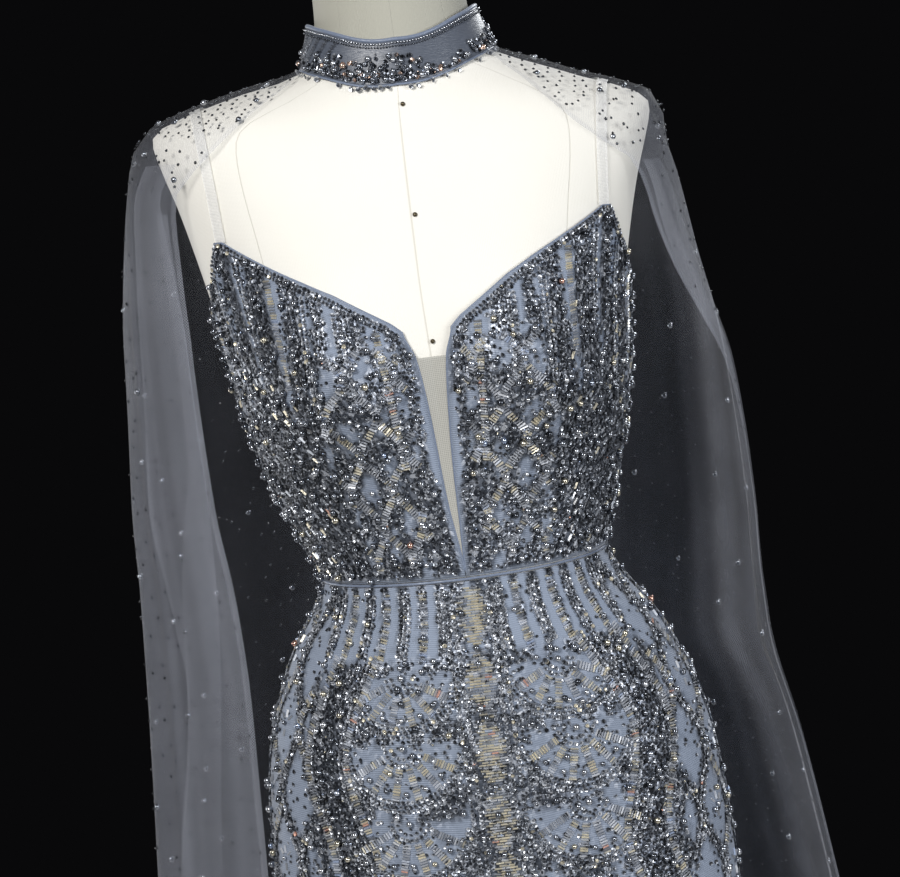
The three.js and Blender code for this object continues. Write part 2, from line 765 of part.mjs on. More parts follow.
function addSkirt() {
  const side = Math.PI / 2;
  add('skirt_front', skirtPanel(-side, side, 24, ['front']), FINISHES.beaded);
  add('skirt_back_left', skirtPanel(side, Math.PI, 12, ['back', 'left']), FINISHES.beaded);
  add('skirt_back_right', skirtPanel(-Math.PI, -side, 12, ['back', 'right']), FINISHES.beaded);
}

function addBodice() {
  const piece = (name, surface, columns, steps, sides) => {
    const rows = stops(0, 1, steps);
    add(name, clothWall(surface, columns, rows, { ...GOWN_CLOTH, sides }), FINISHES.beaded);
  };
  piece('bodice_cup_left', cupSurface, cupStops(), CUP_ROWS, ['left', 'front']);
  piece('bodice_cup_right', mirrored(cupSurface), mirroredStops(cupStops()), CUP_ROWS, ['right', 'front']);
  piece('bodice_back_left', backSurface, backStops(), BACK_ROWS, ['left', 'back']);
  const rightStops = mirroredStops(backStops());
  piece('bodice_back_right', mirrored(backSurface), rightStops, BACK_ROWS, ['right', 'back']);
  const mesh = { clear: GOWN_CLEAR, thick: STRAP_WALL };
  const insertRows = stops(INSERT_POINT, INSERT_TOP, 10);
  add('plunge_insert', clothWall(insertSurface, [0, 0.5, 1], insertRows, mesh), FINISHES.nudeMesh);
}

function addPiping() {
  const half = PIPING_WIDTH / 2;
  const cord = { clear: GOWN_CLEAR, thick: PIPING_WALL, sides: ['openBehind'] };
  const strip = clothWall(gownSurface, stops(-Math.PI, Math.PI, 48), [-half, half], cord);
  add('waist_piping', strip, FINISHES.piping);
}

function addStraps() {
  for (const [name, side] of [['strap_left', 1], ['strap_right', -1]]) {
    const surface = (across, along) => strapSurface(side, across, along);
    const tape = { clear: STRAP_CLEAR, thick: STRAP_WALL };
    add(name, clothWall(surface, [0, 1], stops(0, 2, 28), tape), FINISHES.strap);
  }
}

function addCollarAndCape() {
  add('collar_band', collarBand(), FINISHES.satin);
  add('cape_left', capePanel(1), FINISHES.sheer);
  add('cape_right', capePanel(-1), FINISHES.sheer);
}

function addFastenings() {
  const seat = COLLAR_WALL + SEAM_GAP;
  ['collar_button_lower', 'collar_button_upper'].forEach((name, place) => {
    add(name, laidOn(buttonShape(), collarSurface, Math.PI, BUTTON.rises[place], seat), FINISHES.satin);
  });
  const proud = GOWN_CLEAR + GOWN_WALL + SEAM_GAP;
  add('zip_slider', laidOn(zipSliderShape(), bodySurface, Math.PI, ZIP_SLIDER.up, proud), FINISHES.metal);
}

addForm();
addSkirt();
addPiping();
addBodice();
addStraps();
addCollarAndCape();
addFastenings();

export default dressOnForm;
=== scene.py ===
"""Looks of a beaded evening gown with a sheer cape, worn on a limbless dress form.

The cloth pieces are laid again, finely, on the same rings as their solids, and then dressed: ribbed cloth
under sequins, rods and balls for the gown, satin for the collar and tulle for the cape. Tables are in
millimetres, with heights measured from the waist, and everything that is made from them is in metres. The
figure faces -Y, so the wearer's left is +X.
"""

import logging
import math
from collections.abc import Callable, Sequence
from dataclasses import dataclass, field
from enum import Enum

import bmesh
import bpy
import numpy as np
from mathutils import Matrix, Vector


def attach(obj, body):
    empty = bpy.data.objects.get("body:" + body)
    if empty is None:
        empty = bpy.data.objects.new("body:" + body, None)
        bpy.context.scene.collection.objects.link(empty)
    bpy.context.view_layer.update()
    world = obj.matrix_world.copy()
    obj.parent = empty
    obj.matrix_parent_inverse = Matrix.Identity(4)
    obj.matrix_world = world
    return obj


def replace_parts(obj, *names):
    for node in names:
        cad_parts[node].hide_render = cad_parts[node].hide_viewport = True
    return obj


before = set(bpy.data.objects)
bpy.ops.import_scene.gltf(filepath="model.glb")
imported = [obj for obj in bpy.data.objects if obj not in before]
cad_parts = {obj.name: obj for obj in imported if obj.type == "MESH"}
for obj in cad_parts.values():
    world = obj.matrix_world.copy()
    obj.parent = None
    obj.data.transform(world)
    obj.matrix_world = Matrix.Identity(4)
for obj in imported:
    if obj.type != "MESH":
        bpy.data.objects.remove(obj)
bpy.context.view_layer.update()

Array = np.ndarray
Surface = Callable[[Array, Array], Array]
Colour = tuple[float, float, float, float]
Socket = bpy.types.NodeSocket
Setting = float | Sequence[float] | Socket
log = logging.getLogger("gown")

# ---------- Driving dimensions, in millimetres ----------

MM = 0.001
WAIST = 1050.0  # height of the waist seam above the floor
SEAM_GAP = 0.3
GOWN_CLEAR = 1.5
GOWN_WALL = 1.6
GOWN_FACE = GOWN_CLEAR + GOWN_WALL  # the gown's outer face, measured from the figure
STRAP_CLEAR = 0.9
STRAP_WALL = 1.0
STRAP_WIDTH = 8.0
CAPE_CLEAR = 3.2
CAPE_WALL = 1.0
COLLAR_WALL = 2.0
COLLAR_CLEAR = 1.2
PIPING_WIDTH = 2.8
HEM = 18 - WAIST
CAPE_HEM = 14 - WAIST
FORM_BOTTOM = -330.0
FORM_TOP = 480.0
HIP = -222.0
SHOULDER = 350.0
INSERT_TOP = 170.0
INSERT_POINT = 14.0
CAPE_SEAT = 1.0
PIPING_EDGE = PIPING_WIDTH / 2 + 2 * SEAM_GAP
NECK_SEARCH = (345.0, 430.0)

# Rings of the figure: height, half width, depth in front, depth behind, and power (2 is an ellipse).
BODY = (
    (-330, 168, 104, 116, 2.2),
    (-270, 176, 111, 126, 2.15),
    (-222, 178, 114, 130, 2.1),
    (-170, 174, 115, 128, 2.1),
    (-120, 166, 114, 120, 2.1),
    (-80, 151, 110, 110, 2.1),
    (-50, 135, 105, 101, 2.05),
    (-20, 116, 100, 94, 2),
    (0, 110, 98, 92, 2),
    (35, 121, 99, 93, 2),
    (85, 137, 103, 98, 2),
    (142, 150, 107, 105, 2.05),
    (201, 158, 109, 110, 2.1),
    (250, 168, 103, 113, 2.15),
    (291, 178, 95, 111, 2.15),
    (320, 187, 87, 106, 2.05),
    (340, 192, 79, 98, 1.9),
    (350, 190, 75, 93, 1.75),
    (356, 178, 73, 90, 1.68),
    (363, 160, 70, 87, 1.6),
    (370, 137, 66.5, 83, 1.55),
    (376, 119, 64, 79, 1.52),
    (382, 98, 61.8, 76, 1.55),
    (386, 84, 60.6, 74, 1.62),
    (390, 75, 59.6, 72.5, 1.75),
    (394, 69, 58.8, 70.5, 1.85),
    (400, 65, 57.5, 67, 1.95),
    (410, 62, 55.5, 61, 2),
    (430, 59, 54, 57, 2),
    (480, 57, 53, 55, 2),
)
# Rings of the skirt below the hips, in the same columns.
SKIRT = (
    (-1040, 292, 254, 268, 2),
    (-860, 244, 206, 216, 2),
    (-700, 204, 164, 170, 2),
    (-560, 180, 136, 142, 2),
    (-450, 176, 124, 134, 2),
    (-350, 179, 120, 134, 2.05),
    (-270, 179, 117, 132, 2.1),
)
# How far the figure leans to the wearer's left at each height.
LEAN = (
    (-1050, 0), (-222, 1.5), (0, -1), (70, -4.5), (160, -6), (230, -8), (350, -7), (400, -4), (500, -6),
)
SHOULDER_DROP = 0.047  # slope by which the wearer's left shoulder hangs lower
DROP_ASIDE = (60.0, 140.0)
DROP_UP = (180.0, 340.0)


@dataclass(frozen=True)
class Bust:
    """The fullness of the bust: how far each side swells forward, where, and how far it spreads."""

    swell: float = 35.0
    aside: float = 73.0
    up: float = 152.0
    spread_aside: float = 47.0
    spread_up: float = 60.0


# Soft folds: how many go round, where they start, and their share of the depth.
SKIRT_WAVES = ((8, 0.4, 0.7), (5, 1.0, 0.3))
SKIRT_FOLDS = (-480.0, 12.0)  # where they start and their depth at the hem
CAPE_WAVES = ((7, 0.6, 0.6), (11, 2.1, 0.4))
CAPE_FOLDS = ((-1040, 15), (-500, 11), (-100, 7), (150, 4), (300, 1), (SHOULDER, 0))

# Top edge of each cup and each back: turn in degrees from the middle of the front, and height.
CUP_TOP = (
    (7, 190), (9.6, 197), (15.6, 208), (23, 222), (31, 234), (39, 245), (48, 257), (55.6, 267), (59.4, 267),
    (66, 244), (77, 220), (90, 205),
)
BACK_TOP = (
    (90, 205), (105, 205), (120, 209), (134.5, 220), (138.5, 220), (150, 208), (165, 198), (180, 195),
)
PLUNGE = ((0, 0.15), (INSERT_POINT, 0.7), (52, 3.5), (115, 7), (170, 12.5), (190, 19), (280, 19))


@dataclass(frozen=True)
class StrapRoute:
    """A strap's distances from the middle, at the cup, on top and behind, and the heights of its ends."""

    cup: float = 144.0
    cup_up: float = 267.0
    top: float = 158.0
    back: float = 108.0
    back_up: float = 220.0


# Rings of the cape where it hangs free: height, half width on the right and the left, front, back, power.
CAPE = (
    (-1040, 338, 344, 92, 322, 2),
    (-700, 306, 308, 84, 262, 2),
    (-450, 284, 280, 78, 222, 2),
    (-279, 269, 259, 76, 198, 2),
    (-170, 260, 244, 76, 184, 2),
    (-97, 254, 232, 76, 174, 2),
    (-35, 249, 228, 76, 166, 2),
    (61, 241, 230, 77, 154, 2),
    (121, 235, 227, 78, 146, 2),
    (165, 231, 222, 78, 139, 2),
    (213, 226, 214, 78, 131, 2),
    (284, 215, 204, 80, 118, 2),
    (316, 208, 198, 83, 110, 2),
    (338, 201, 197, 84, 101, 1.9),
)
# The cape's front edges: height, distance from the middle on the wearer's right and on the left.
CAPE_EDGE = (
    (-1040, 306, 334),
    (-860, 262, 316),
    (-700, 226, 300),
    (-450, 196, 277),
    (-279, 187, 257),
    (-168, 182, 242),
    (-60, 177, 228),
    (0, 178, 226),
    (61, 181, 225),
    (125, 181, 218),
    (171, 180, 204),
    (205, 178, 193),
    (245, 177, 183),
    (300, 174, 170),
    (320, 156, 146),
    (341, 130, 120),
    (364, 102, 94),
    (382, 78, 73),
    (400, 66, 64),
)


# ---------- Reading the tables ----------


class Curve:
    """A smooth curve through the rows of a table, which never overshoots them."""

    def __init__(self, rows: Sequence[Sequence[float]], column: int = 1) -> None:
        """Takes one column of a table over its first column.

        Args:
            rows: The table, in order of its first column.
            column: The column to read.
        """
        self.places = np.array([row[0] for row in rows], float)
        self.values = np.array([row[column] for row in rows], float)
        self.spans = np.diff(self.places)
        self.rises = np.diff(self.values) / self.spans
        before = np.maximum(np.arange(len(rows)) - 1, 0)
        after = np.minimum(np.arange(len(rows)) + 1, len(rows) - 1)
        run = self.places[after] - self.places[before]
        self.slopes = (self.values[after] - self.values[before]) / run

    def __call__(self, place: Array | float) -> Array:
        """Reads the curve.

        Args:
            place: One or many places in the first column.

        Returns:
            The values there.
        """
        place = np.asarray(place, float)
        low = np.clip(np.searchsorted(self.places, place, side="right") - 1, 0, len(self.spans) - 1)
        span = self.spans[low]
        rise = self.rises[low]
        share = np.clip((place - self.places[low]) / span, -0.1, 1.1)
        steepest = 3 * np.abs(rise)

        def held(slope: Array) -> Array:
            """Holds a slope to the side and to three times the steepness of the local rise."""
            return np.where(rise * slope <= 0, 0, np.clip(slope, -steepest, steepest)) * span

        start = held(self.slopes[low])
        end = held(self.slopes[low + 1])
        drop = self.values[low] - self.values[low + 1]
        bend = -3 * drop - 2 * start - end + share * (2 * drop + start + end)
        return self.values[low] + share * (start + share * bend)


def straight(rows: Sequence[Sequence[float]], place: Array) -> Array:
    """Reads a table of two columns along straight lines."""
    return np.interp(place, [row[0] for row in rows], [row[1] for row in rows])


class Rings:
    """A stack of rings, each an ellipse of some power with a front and a back."""

    def __init__(self, rows: Sequence[Sequence[float]], half_column: int = 1) -> None:
        """Takes a table of rings.

        Args:
            rows: Rings in any order. The last three columns are front, back and power.
            half_column: The column that holds half the width.
        """
        ordered = sorted(rows, key=lambda row: row[0])
        width = len(ordered[0])
        self.half = Curve(ordered, half_column)
        self.front = Curve(ordered, width - 3)
        self.back = Curve(ordered, width - 2)
        self.power = Curve(ordered, width - 1)

    def point(self, turn: Array, up: Array) -> Array:
        """Finds points of the rings.

        Args:
            turn: Turns from the middle of the front, anticlockwise seen from above, in radians.
            up: Heights above the waist.

        Returns:
            Points in millimetres, with a last axis of three.
        """
        return ring_point(self.half(up), self.front(up), self.back(up), self.power(up), turn, up)

    def turn_at(self, up: Array, aside: Array) -> Array:
        """Finds the turn at which the front of each ring is `aside` from the middle."""
        return np.arcsin(np.minimum(aside / self.half(up), 1) ** (self.power(up) / 2))


def ring_point(half: Array, front: Array, back: Array, power: Array, turn: Array, up: Array) -> Array:
    """Finds a point of one ring from its sizes, its turn and its height."""
    sine, cosine = np.sin(turn), np.cos(turn)
    bend = 2 / power
    x = half * np.sign(sine) * np.abs(sine) ** bend
    y = -np.where(cosine > 0, front, back) * np.sign(cosine) * np.abs(cosine) ** bend
    return np.stack(np.broadcast_arrays(x, y, WAIST + up), axis=-1)


def wave_sum(waves: Sequence[Sequence[float]], turn: Array) -> Array:
    """Adds up waves that go round: each is a count, a start and a share."""
    return sum(share * np.cos(count * turn + start) for count, start, share in waves)


def pushed(point: Array, turn: Array, push: Array) -> Array:
    """Pushes points outwards from the middle, along their turns."""
    point[..., 0] += push * np.sin(turn)
    point[..., 1] -= push * np.cos(turn)
    return point


BODY_RINGS = Rings(BODY)
GOWN_RINGS = Rings(SKIRT + tuple(row for row in BODY if row[0] >= HIP))
YOKE = tuple((row[0], row[1], *row[1:]) for row in BODY if row[0] >= SHOULDER)
CAPE_RINGS = {1: Rings(CAPE + YOKE, 2), -1: Rings(CAPE + YOKE, 1)}
CAPE_FRONT = {1: Curve(CAPE_EDGE, 2), -1: Curve(CAPE_EDGE, 1)}
CAPE_DEPTH = Curve(CAPE_FOLDS)
PLUNGE_CURVE = Curve(PLUNGE)
LEAN_CURVE = Curve(LEAN)
BUST = Bust()
STRAP = StrapRoute()


def figure(rings: Rings, turn: Array, up: Array) -> Array:
    """Finds points on the figure, with the fullness of the bust."""
    point = rings.point(turn, up)
    aside = (np.abs(point[..., 0]) - BUST.aside) / BUST.spread_aside
    rise = (up - BUST.up) / BUST.spread_up
    facing = np.clip(np.cos(turn) / 0.4, 0, 1)
    facing = facing * facing * (3 - 2 * facing)
    point[..., 1] -= BUST.swell * facing * np.exp(-aside * aside - rise * rise)
    return point


def body_surface(turn: Array, up: Array) -> Array:
    """The bare figure, over turns and heights."""
    return figure(BODY_RINGS, turn, up)


def gown_surface(turn: Array, up: Array) -> Array:
    """The figure down to the hips, then the skirt's own rings with folds towards the hem."""
    start, depth = SKIRT_FOLDS
    fall = np.clip((start - up) / (start - HEM), 0, 1)
    return pushed(figure(GOWN_RINGS, turn, up), turn, depth * fall * fall * wave_sum(SKIRT_WAVES, turn))


def height_where(test: Callable[[Array], Array], like: Array) -> Array:
    """Finds by halving the heights at which a test stops holding, between the shoulders and the neck."""
    below = np.full(np.shape(like), NECK_SEARCH[0])
    above = np.full(np.shape(like), NECK_SEARCH[1])
    for _ in range(40):
        middle = (above + below) / 2
        held = test(middle)
        below = np.where(held, middle, below)
        above = np.where(held, above, middle)
    return below


def askew(point: Array) -> Array:
    """Sets points askew, as the figure stands.

    Args:
        point: Points in millimetres.

    Returns:
        The same points moved, in metres.
    """
    x = point[..., 0]
    up = point[..., 2] - WAIST

    def eased(value: Array, ends: tuple[float, float]) -> Array:
        """Eases from 0 to 1 between two ends."""
        share = np.clip((value - ends[0]) / (ends[1] - ends[0]), 0, 1)
        return share * share * (3 - 2 * share)

    moved = point.copy()
    moved[..., 0] += LEAN_CURVE(up)
    moved[..., 2] -= SHOULDER_DROP * x * eased(np.abs(x), DROP_ASIDE) * eased(up, DROP_UP)
    return moved * MM


# ---------- The surfaces of the pieces ----------


def cup_surface(across: Array, along: Array) -> Array:
    """The wearer's left cup: across from the plunge to the side, along from the waist to the top."""
    first_turn = math.radians(CUP_TOP[0][0])
    top_turn = np.degrees(first_turn + across * (math.pi / 2 - first_turn))
    up = PIPING_EDGE + along * (straight(CUP_TOP, top_turn) - PIPING_EDGE)
    first = BODY_RINGS.turn_at(up, PLUNGE_CURVE(up))
    return body_surface(first + across * (math.pi / 2 - first), up)


def back_surface(across: Array, along: Array) -> Array:
    """The wearer's left back: across from the side to the centre back."""
    turn = 90 + 90 * across
    up = PIPING_EDGE + along * (straight(BACK_TOP, turn) - PIPING_EDGE)
    return body_surface(np.radians(turn), up)


def mirrored(surface: Surface) -> Surface:
    """Mirrors a surface about the middle of the figure."""

    def other_side(across: Array, along: Array) -> Array:
        """The surface's mirror image, with its across direction turned round."""
        return surface(1 - across, along) * (-1, 1, 1)

    return other_side


def insert_surface(across: Array, up: Array) -> Array:
    """The mesh wedge between the cups."""
    edge = BODY_RINGS.turn_at(up, np.maximum(PLUNGE_CURVE(up) - 2 * SEAM_GAP, 0.2))
    return body_surface(edge * (2 * across - 1), up)


def strap_surface(side: int) -> Surface:
    """A strap over one shoulder, along from the cup (0) over the top (1) to the back (2)."""

    def over(across: Array, along: Array) -> Array:
        """Points of the strap."""
        to_back = along > 1
        down = np.abs(1 - along)
        middle = STRAP.top + down * (np.where(to_back, STRAP.back, STRAP.cup) - STRAP.top)
        aside = middle + side * (across - 0.5) * STRAP_WIDTH
        crest = height_where(lambda up: BODY_RINGS.half(up) >= aside, aside)
        end = np.where(to_back, STRAP.back_up, STRAP.cup_up) + SEAM_GAP
        up = crest + down * down * (end - crest)
        turn = BODY_RINGS.turn_at(up, aside)
        return body_surface(np.where(to_back, math.pi - turn, turn), up) * (side, 1, 1)

    return over


@dataclass(frozen=True)
class CollarShape:
    """Inside of the collar at its bottom and top edges (half width, front, back), and its heights."""

    bottom: tuple[float, float, float] = (73.7, 66.5, 71.0)
    top: tuple[float, float, float] = (63.5, 57.5, 60.0)
    front: float = 35.0
    side: float = 34.0

    def surface(self, turn: Array, rise: Array) -> Array:
        """The collar's inner face: rise is 0 at its bottom edge and 1 at the top."""
        turns, inverse = np.unique(turn, return_inverse=True)
        edge = ring_point(*self.bottom, 2, turns, 0)
        x, y = np.abs(edge[..., 0]), edge[..., 1]

        def under_neck(up: Array) -> Array:
            """Whether the shoulders at a height reach past the collar's edge."""
            depth = np.where(y < 0, BODY_RINGS.front(up), BODY_RINGS.back(up))
            power = BODY_RINGS.power(up)
            return (x / BODY_RINGS.half(up)) ** power + (np.abs(y) / depth) ** power <= 1

        bottom = height_where(under_neck, x)[inverse].reshape(np.shape(turn)) + COLLAR_CLEAR
        height = self.side + (self.front - self.side) * np.maximum(np.cos(turn), 0)
        sizes = [low + (high - low) * rise for low, high in zip(self.bottom, self.top)]
        return ring_point(*sizes, 2, turn, bottom + height * rise)


COLLAR = CollarShape()


def cape_point(side: int, share: Array, up: Array) -> Array:
    """A point of the cape at a share of the way from its front edge to the centre back."""
    rings = CAPE_RINGS[side]
    edge = rings.turn_at(up, CAPE_FRONT[side](up))
    turn = edge + share * (math.pi - edge)
    depth = CAPE_DEPTH(np.minimum(up, SHOULDER))
    point = pushed(rings.point(turn, up), turn, depth * wave_sum(CAPE_WAVES, (turn - math.pi) * side))
    return point * (side, 1, 1)


def cape_surface(side: int) -> Surface:
    """One half of the cape: along is 0 at the hem, 1 at the shoulder's tip and 2 at the collar."""

    def hanging(across: Array, along: Array) -> Array:
        """Points of the cape."""
        share = across if side > 0 else 1 - across
        shares, inverse = np.unique(share, return_inverse=True)
        half, front, back = (size + CAPE_SEAT for size in COLLAR.bottom)

        def outside_collar(up: Array) -> Array:
            """Whether the cape at a height still lies outside the collar."""
            point = cape_point(side, shares, up)
            depth = np.where(point[..., 1] < 0, front, back)
            return np.hypot(point[..., 0] / half, point[..., 1] / depth) >= 1

        top = height_where(outside_collar, shares)[inverse].reshape(np.shape(across))
        up = np.where(
            along < 1,
            CAPE_HEM + along * (SHOULDER - CAPE_HEM),
            SHOULDER + (along - 1) * (top - SHOULDER),
        )
        return cape_point(side, share, up)

    return hanging


@dataclass(frozen=True)
class Cloth:
    """A surface with cloth on it, `face` millimetres proud of it.

    Attributes:
        surface: Points over across and along.
        face: How far the cloth's outer face stands off.
        keeps: Sides of the figure that the cloth stays on: left, right, front or back.
    """

    surface: Surface
    face: float
    keeps: tuple[str, ...] = ()

    def frames(self, across: Array, along: Array) -> tuple[Array, Array, Array, Array]:
        """Finds where the cloth is and how it lies.

        Args:
            across: Places across.
            along: Places along.

        Returns:
            Points in millimetres on the surface, and unit directions across, along and outwards.
        """
        step = 1e-3
        side = self.surface(across + step, along) - self.surface(across - step, along)
        rise = self.surface(across, along + step) - self.surface(across, along - step)
        out = unit(np.cross(side, rise))
        side = unit(side)
        return self.surface(across, along), side, np.cross(out, side), out

    def points(self, across: Array, along: Array, proud: Array | float = 0.0) -> Array:
        """Finds points of the cloth's outer face in metres, `proud` millimetres outside it."""
        point, _, _, out = self.frames(across, along)
        point = point + out * (self.face + np.asarray(proud))[..., None]
        for keep in self.keeps:
            axis = 0 if keep in ("left", "right") else 1
            value = point[..., axis]
            inner = SEAM_GAP / 2
            positive = keep in ("left", "back")
            point[..., axis] = np.maximum(value, inner) if positive else np.minimum(value, -inner)
        return askew(point)


def unit(vector: Array) -> Array:
    """Scales vectors to length one."""
    return vector / np.maximum(np.linalg.norm(vector, axis=-1, keepdims=True), 1e-12)


class Unrolled:
    """The gown unrolled: a share of the way round becomes a turn.

    The share is 0 at the middle of the front, 1 at a side seam and 2 at the centre back.
    """

    def __init__(self) -> None:
        """Measures the gown's rings all round."""
        self.ups = np.linspace(HEM, SHOULDER, 120)
        self.turns = np.linspace(0, math.pi, 361)
        points = gown_surface(self.turns[None, :], self.ups[:, None])
        steps = np.linalg.norm(np.diff(points, axis=1), axis=-1)
        arc = np.concatenate([np.zeros((len(self.ups), 1)), np.cumsum(steps, axis=1)], axis=1)
        quarter = len(self.turns) // 2
        self.front = arc[:, quarter]
        self.rear = arc[:, -1] - self.front
        front, rear = self.front[:, None], self.rear[:, None]
        share = np.where(arc <= front, arc / front, 1 + (arc - front) / rear)
        self.shares = np.linspace(0, 2, 201)
        self.table = np.array([np.interp(self.shares, row, self.turns) for row in share])

    def turn(self, share: Array, up: Array) -> Array:
        """Turns a share of the way round into a turn.

        Args:
            share: Shares, less than 0 on the wearer's right.
            up: Heights above the waist.

        Returns:
            Turns in radians.
        """
        row = np.clip((up - HEM) / (SHOULDER - HEM) * (len(self.ups) - 1), 0, len(self.ups) - 1.001)
        column = np.clip(np.abs(share) * 100, 0, 199.999)
        i, j = row.astype(int), column.astype(int)
        a, b = row - i, column - j
        low = self.table[i, j] * (1 - b) + self.table[i, j + 1] * b
        high = self.table[i + 1, j] * (1 - b) + self.table[i + 1, j + 1] * b
        return np.sign(share) * (low * (1 - a) + high * a)

    def quarter(self, up: Array) -> Array:
        """The distance from the middle of the front to a side seam at a height, in millimetres."""
        return np.interp(up, self.ups, self.front)


UNROLLED = Unrolled()


def gown_by_share(share: Array, up: Array) -> Array:
    """The gown's surface over shares of the way round instead of turns."""
    return gown_surface(UNROLLED.turn(share, up), up)


GOWN = Cloth(gown_by_share, GOWN_FACE)


# ---------- Meshes ----------


def finished(mesh: bpy.types.Mesh, name: str, material: bpy.types.Material) -> bpy.types.Object:
    """Makes a finished piece of a mesh.

    Args:
        mesh: The mesh, in place.
        name: The piece's name.
        material: Its finish.

    Returns:
        The piece, riding on the part's body.
    """
    mesh.name = name
    piece = bpy.data.objects.new(name, mesh)
    bpy.context.scene.collection.objects.link(piece)
    mesh.materials.append(material)
    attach(piece, "root")
    log.info("%s: %d faces", name, len(mesh.polygons))
    return piece


def grid_mesh(columns: int, rows: int, points: Array) -> bpy.types.Mesh:
    """Makes a mesh of a grid of points, with its UV map in metres along the cloth.

    Args:
        columns: Points across.
        rows: Points along.
        points: Points in metres, rows by columns.

    Returns:
        The mesh, shaded smooth.
    """
    bm = bmesh.new()
    bmesh.ops.create_grid(bm, x_segments=columns - 1, y_segments=rows - 1, size=0.5)
    mesh = bpy.data.meshes.new("grid")
    bm.to_mesh(mesh)
    bm.free()
    flat = np.empty(3 * len(mesh.vertices))
    mesh.vertices.foreach_get("co", flat)
    flat = flat.reshape(-1, 3)
    column = np.rint((flat[:, 0] + 0.5) * (columns - 1)).astype(int)
    row = np.rint((flat[:, 1] + 0.5) * (rows - 1)).astype(int)
    mesh.vertices.foreach_set("co", points[row, column].ravel())
    across = np.linalg.norm(np.diff(points, axis=1), axis=-1)
    along = np.linalg.norm(np.diff(points, axis=0), axis=-1)
    u = np.concatenate([np.zeros((rows, 1)), np.cumsum(across, axis=1)], axis=1)
    u -= u[:, columns // 2, None]
    v = np.concatenate([np.zeros((1, columns)), np.cumsum(along, axis=0)], axis=0)
    corner = np.empty(len(mesh.loops), int)
    mesh.loops.foreach_get("vertex_index", corner)
    uv = np.stack([u[row, column], v[row, column]], axis=-1)[corner]
    mesh.uv_layers.new(name="cloth").data.foreach_set("uv", uv.ravel())
    mesh.attributes.new("column", "INT", "POINT").data.foreach_set("value", column)
    mesh.attributes.new("row", "INT", "POINT").data.foreach_set("value", row)
    mesh.polygons.foreach_set("use_smooth", [True] * len(mesh.polygons))
    mesh.update()
    return mesh


def paint(mesh: bpy.types.Mesh, name: str, values: Array) -> None:
    """Keeps a number for each point of a grid mesh, for its finish to read.

    Args:
        mesh: A mesh from grid_mesh.
        name: The attribute's name.
        values: The numbers, rows by columns.
    """
    column = np.empty(len(mesh.vertices), int)
    row = np.empty(len(mesh.vertices), int)
    mesh.attributes["column"].data.foreach_get("value", column)
    mesh.attributes["row"].data.foreach_get("value", row)
    mesh.attributes.new(name, "FLOAT", "POINT").data.foreach_set("value", values[row, column].ravel())


def laid_cloth(cloth: Cloth, across: Array, along: Array, proud: Array | float = 0.0) -> bpy.types.Mesh:
    """Makes a grid mesh of a cloth's outer face.

    Args:
        cloth: The cloth.
        across: Places of the columns.
        along: Places of the rows.
        proud: Millimetres outside the face, one or rows by columns.

    Returns:
        The mesh.
    """
    columns, rows = np.meshgrid(across, along)
    return grid_mesh(len(across), len(along), cloth.points(columns, rows, proud))


def thicken(piece: bpy.types.Object, wall: float) -> None:
    """Gives a shell its thickness in millimetres, inwards from its outer face."""
    solidify = piece.modifiers.new("wall", "SOLIDIFY")
    solidify.thickness = wall * MM
    solidify.offset = -1


def tube_mesh(path: Array, radius: float, sides: int = 8) -> bpy.types.Mesh:
    """Makes a tube with capped ends along a path.

    Args:
        path: Points in metres.
        radius: Its radius in millimetres.
        sides: Sides of its section.

    Returns:
        The mesh.
    """
    ahead = np.roll(path, -1, axis=0) - np.roll(path, 1, axis=0)
    ahead[0], ahead[-1] = path[1] - path[0], path[-1] - path[-2]
    ahead = unit(ahead)
    side = unit(np.cross(ahead, (0.0, 0.02, 1.0)))
    up = np.cross(side, ahead)
    angle = np.linspace(0, 2 * math.pi, sides + 1)
    ring = side[None] * np.cos(angle)[:, None, None] + up[None] * np.sin(angle)[:, None, None]
    points = path[None] + radius * MM * ring
    mesh = grid_mesh(points.shape[1], sides + 1, points)
    bm = bmesh.new()
    bm.from_mesh(mesh)
    bmesh.ops.remove_doubles(bm, verts=bm.verts, dist=radius * MM * 0.02)
    bmesh.ops.holes_fill(bm, edges=bm.edges, sides=sides)
    bmesh.ops.recalc_face_normals(bm, faces=bm.faces)
    bm.to_mesh(mesh)
    bm.free()
    return mesh


def spun_mesh(profile: Sequence[tuple[float, float]], steps: int = 96) -> bpy.types.Mesh:
    """Spins a profile of radii and heights in millimetres round the upright axis.

    Args:
        profile: Radius and height of each corner, from the axis round to the axis again.
        steps: Sides of the finished shape.

    Returns:
        The mesh, closed, with its edges slightly rounded.
    """
    bm = bmesh.new()
    corners = [bm.verts.new((radius * MM, 0, up * MM)) for radius, up in profile]
    edges = [bm.edges.new(pair) for pair in zip(corners, corners[1:])]
    bmesh.ops.spin(
        bm,
        geom=corners + edges,
        axis=(0, 0, 1),
        cent=(0, 0, 0),
        angle=2 * math.pi,
        steps=steps,
        use_merge=True,
    )
    bmesh.ops.remove_doubles(bm, verts=bm.verts, dist=1e-6)
    bmesh.ops.recalc_face_normals(bm, faces=bm.faces)
    sharp = [edge for edge in bm.edges if edge.is_manifold and edge.calc_face_angle() > math.radians(25)]
    bmesh.ops.bevel(
        bm,
        geom=sharp,
        offset=0.8 * MM,
        offset_type="OFFSET",
        affect="EDGES",
        segments=2,
        profile=0.5,
        material=-1,
    )
    mesh = bpy.data.meshes.new("spun")
    bm.to_mesh(mesh)
    bm.free()
    mesh.polygons.foreach_set("use_smooth", [True] * len(mesh.polygons))
    return mesh


# ---------- Finishes ----------


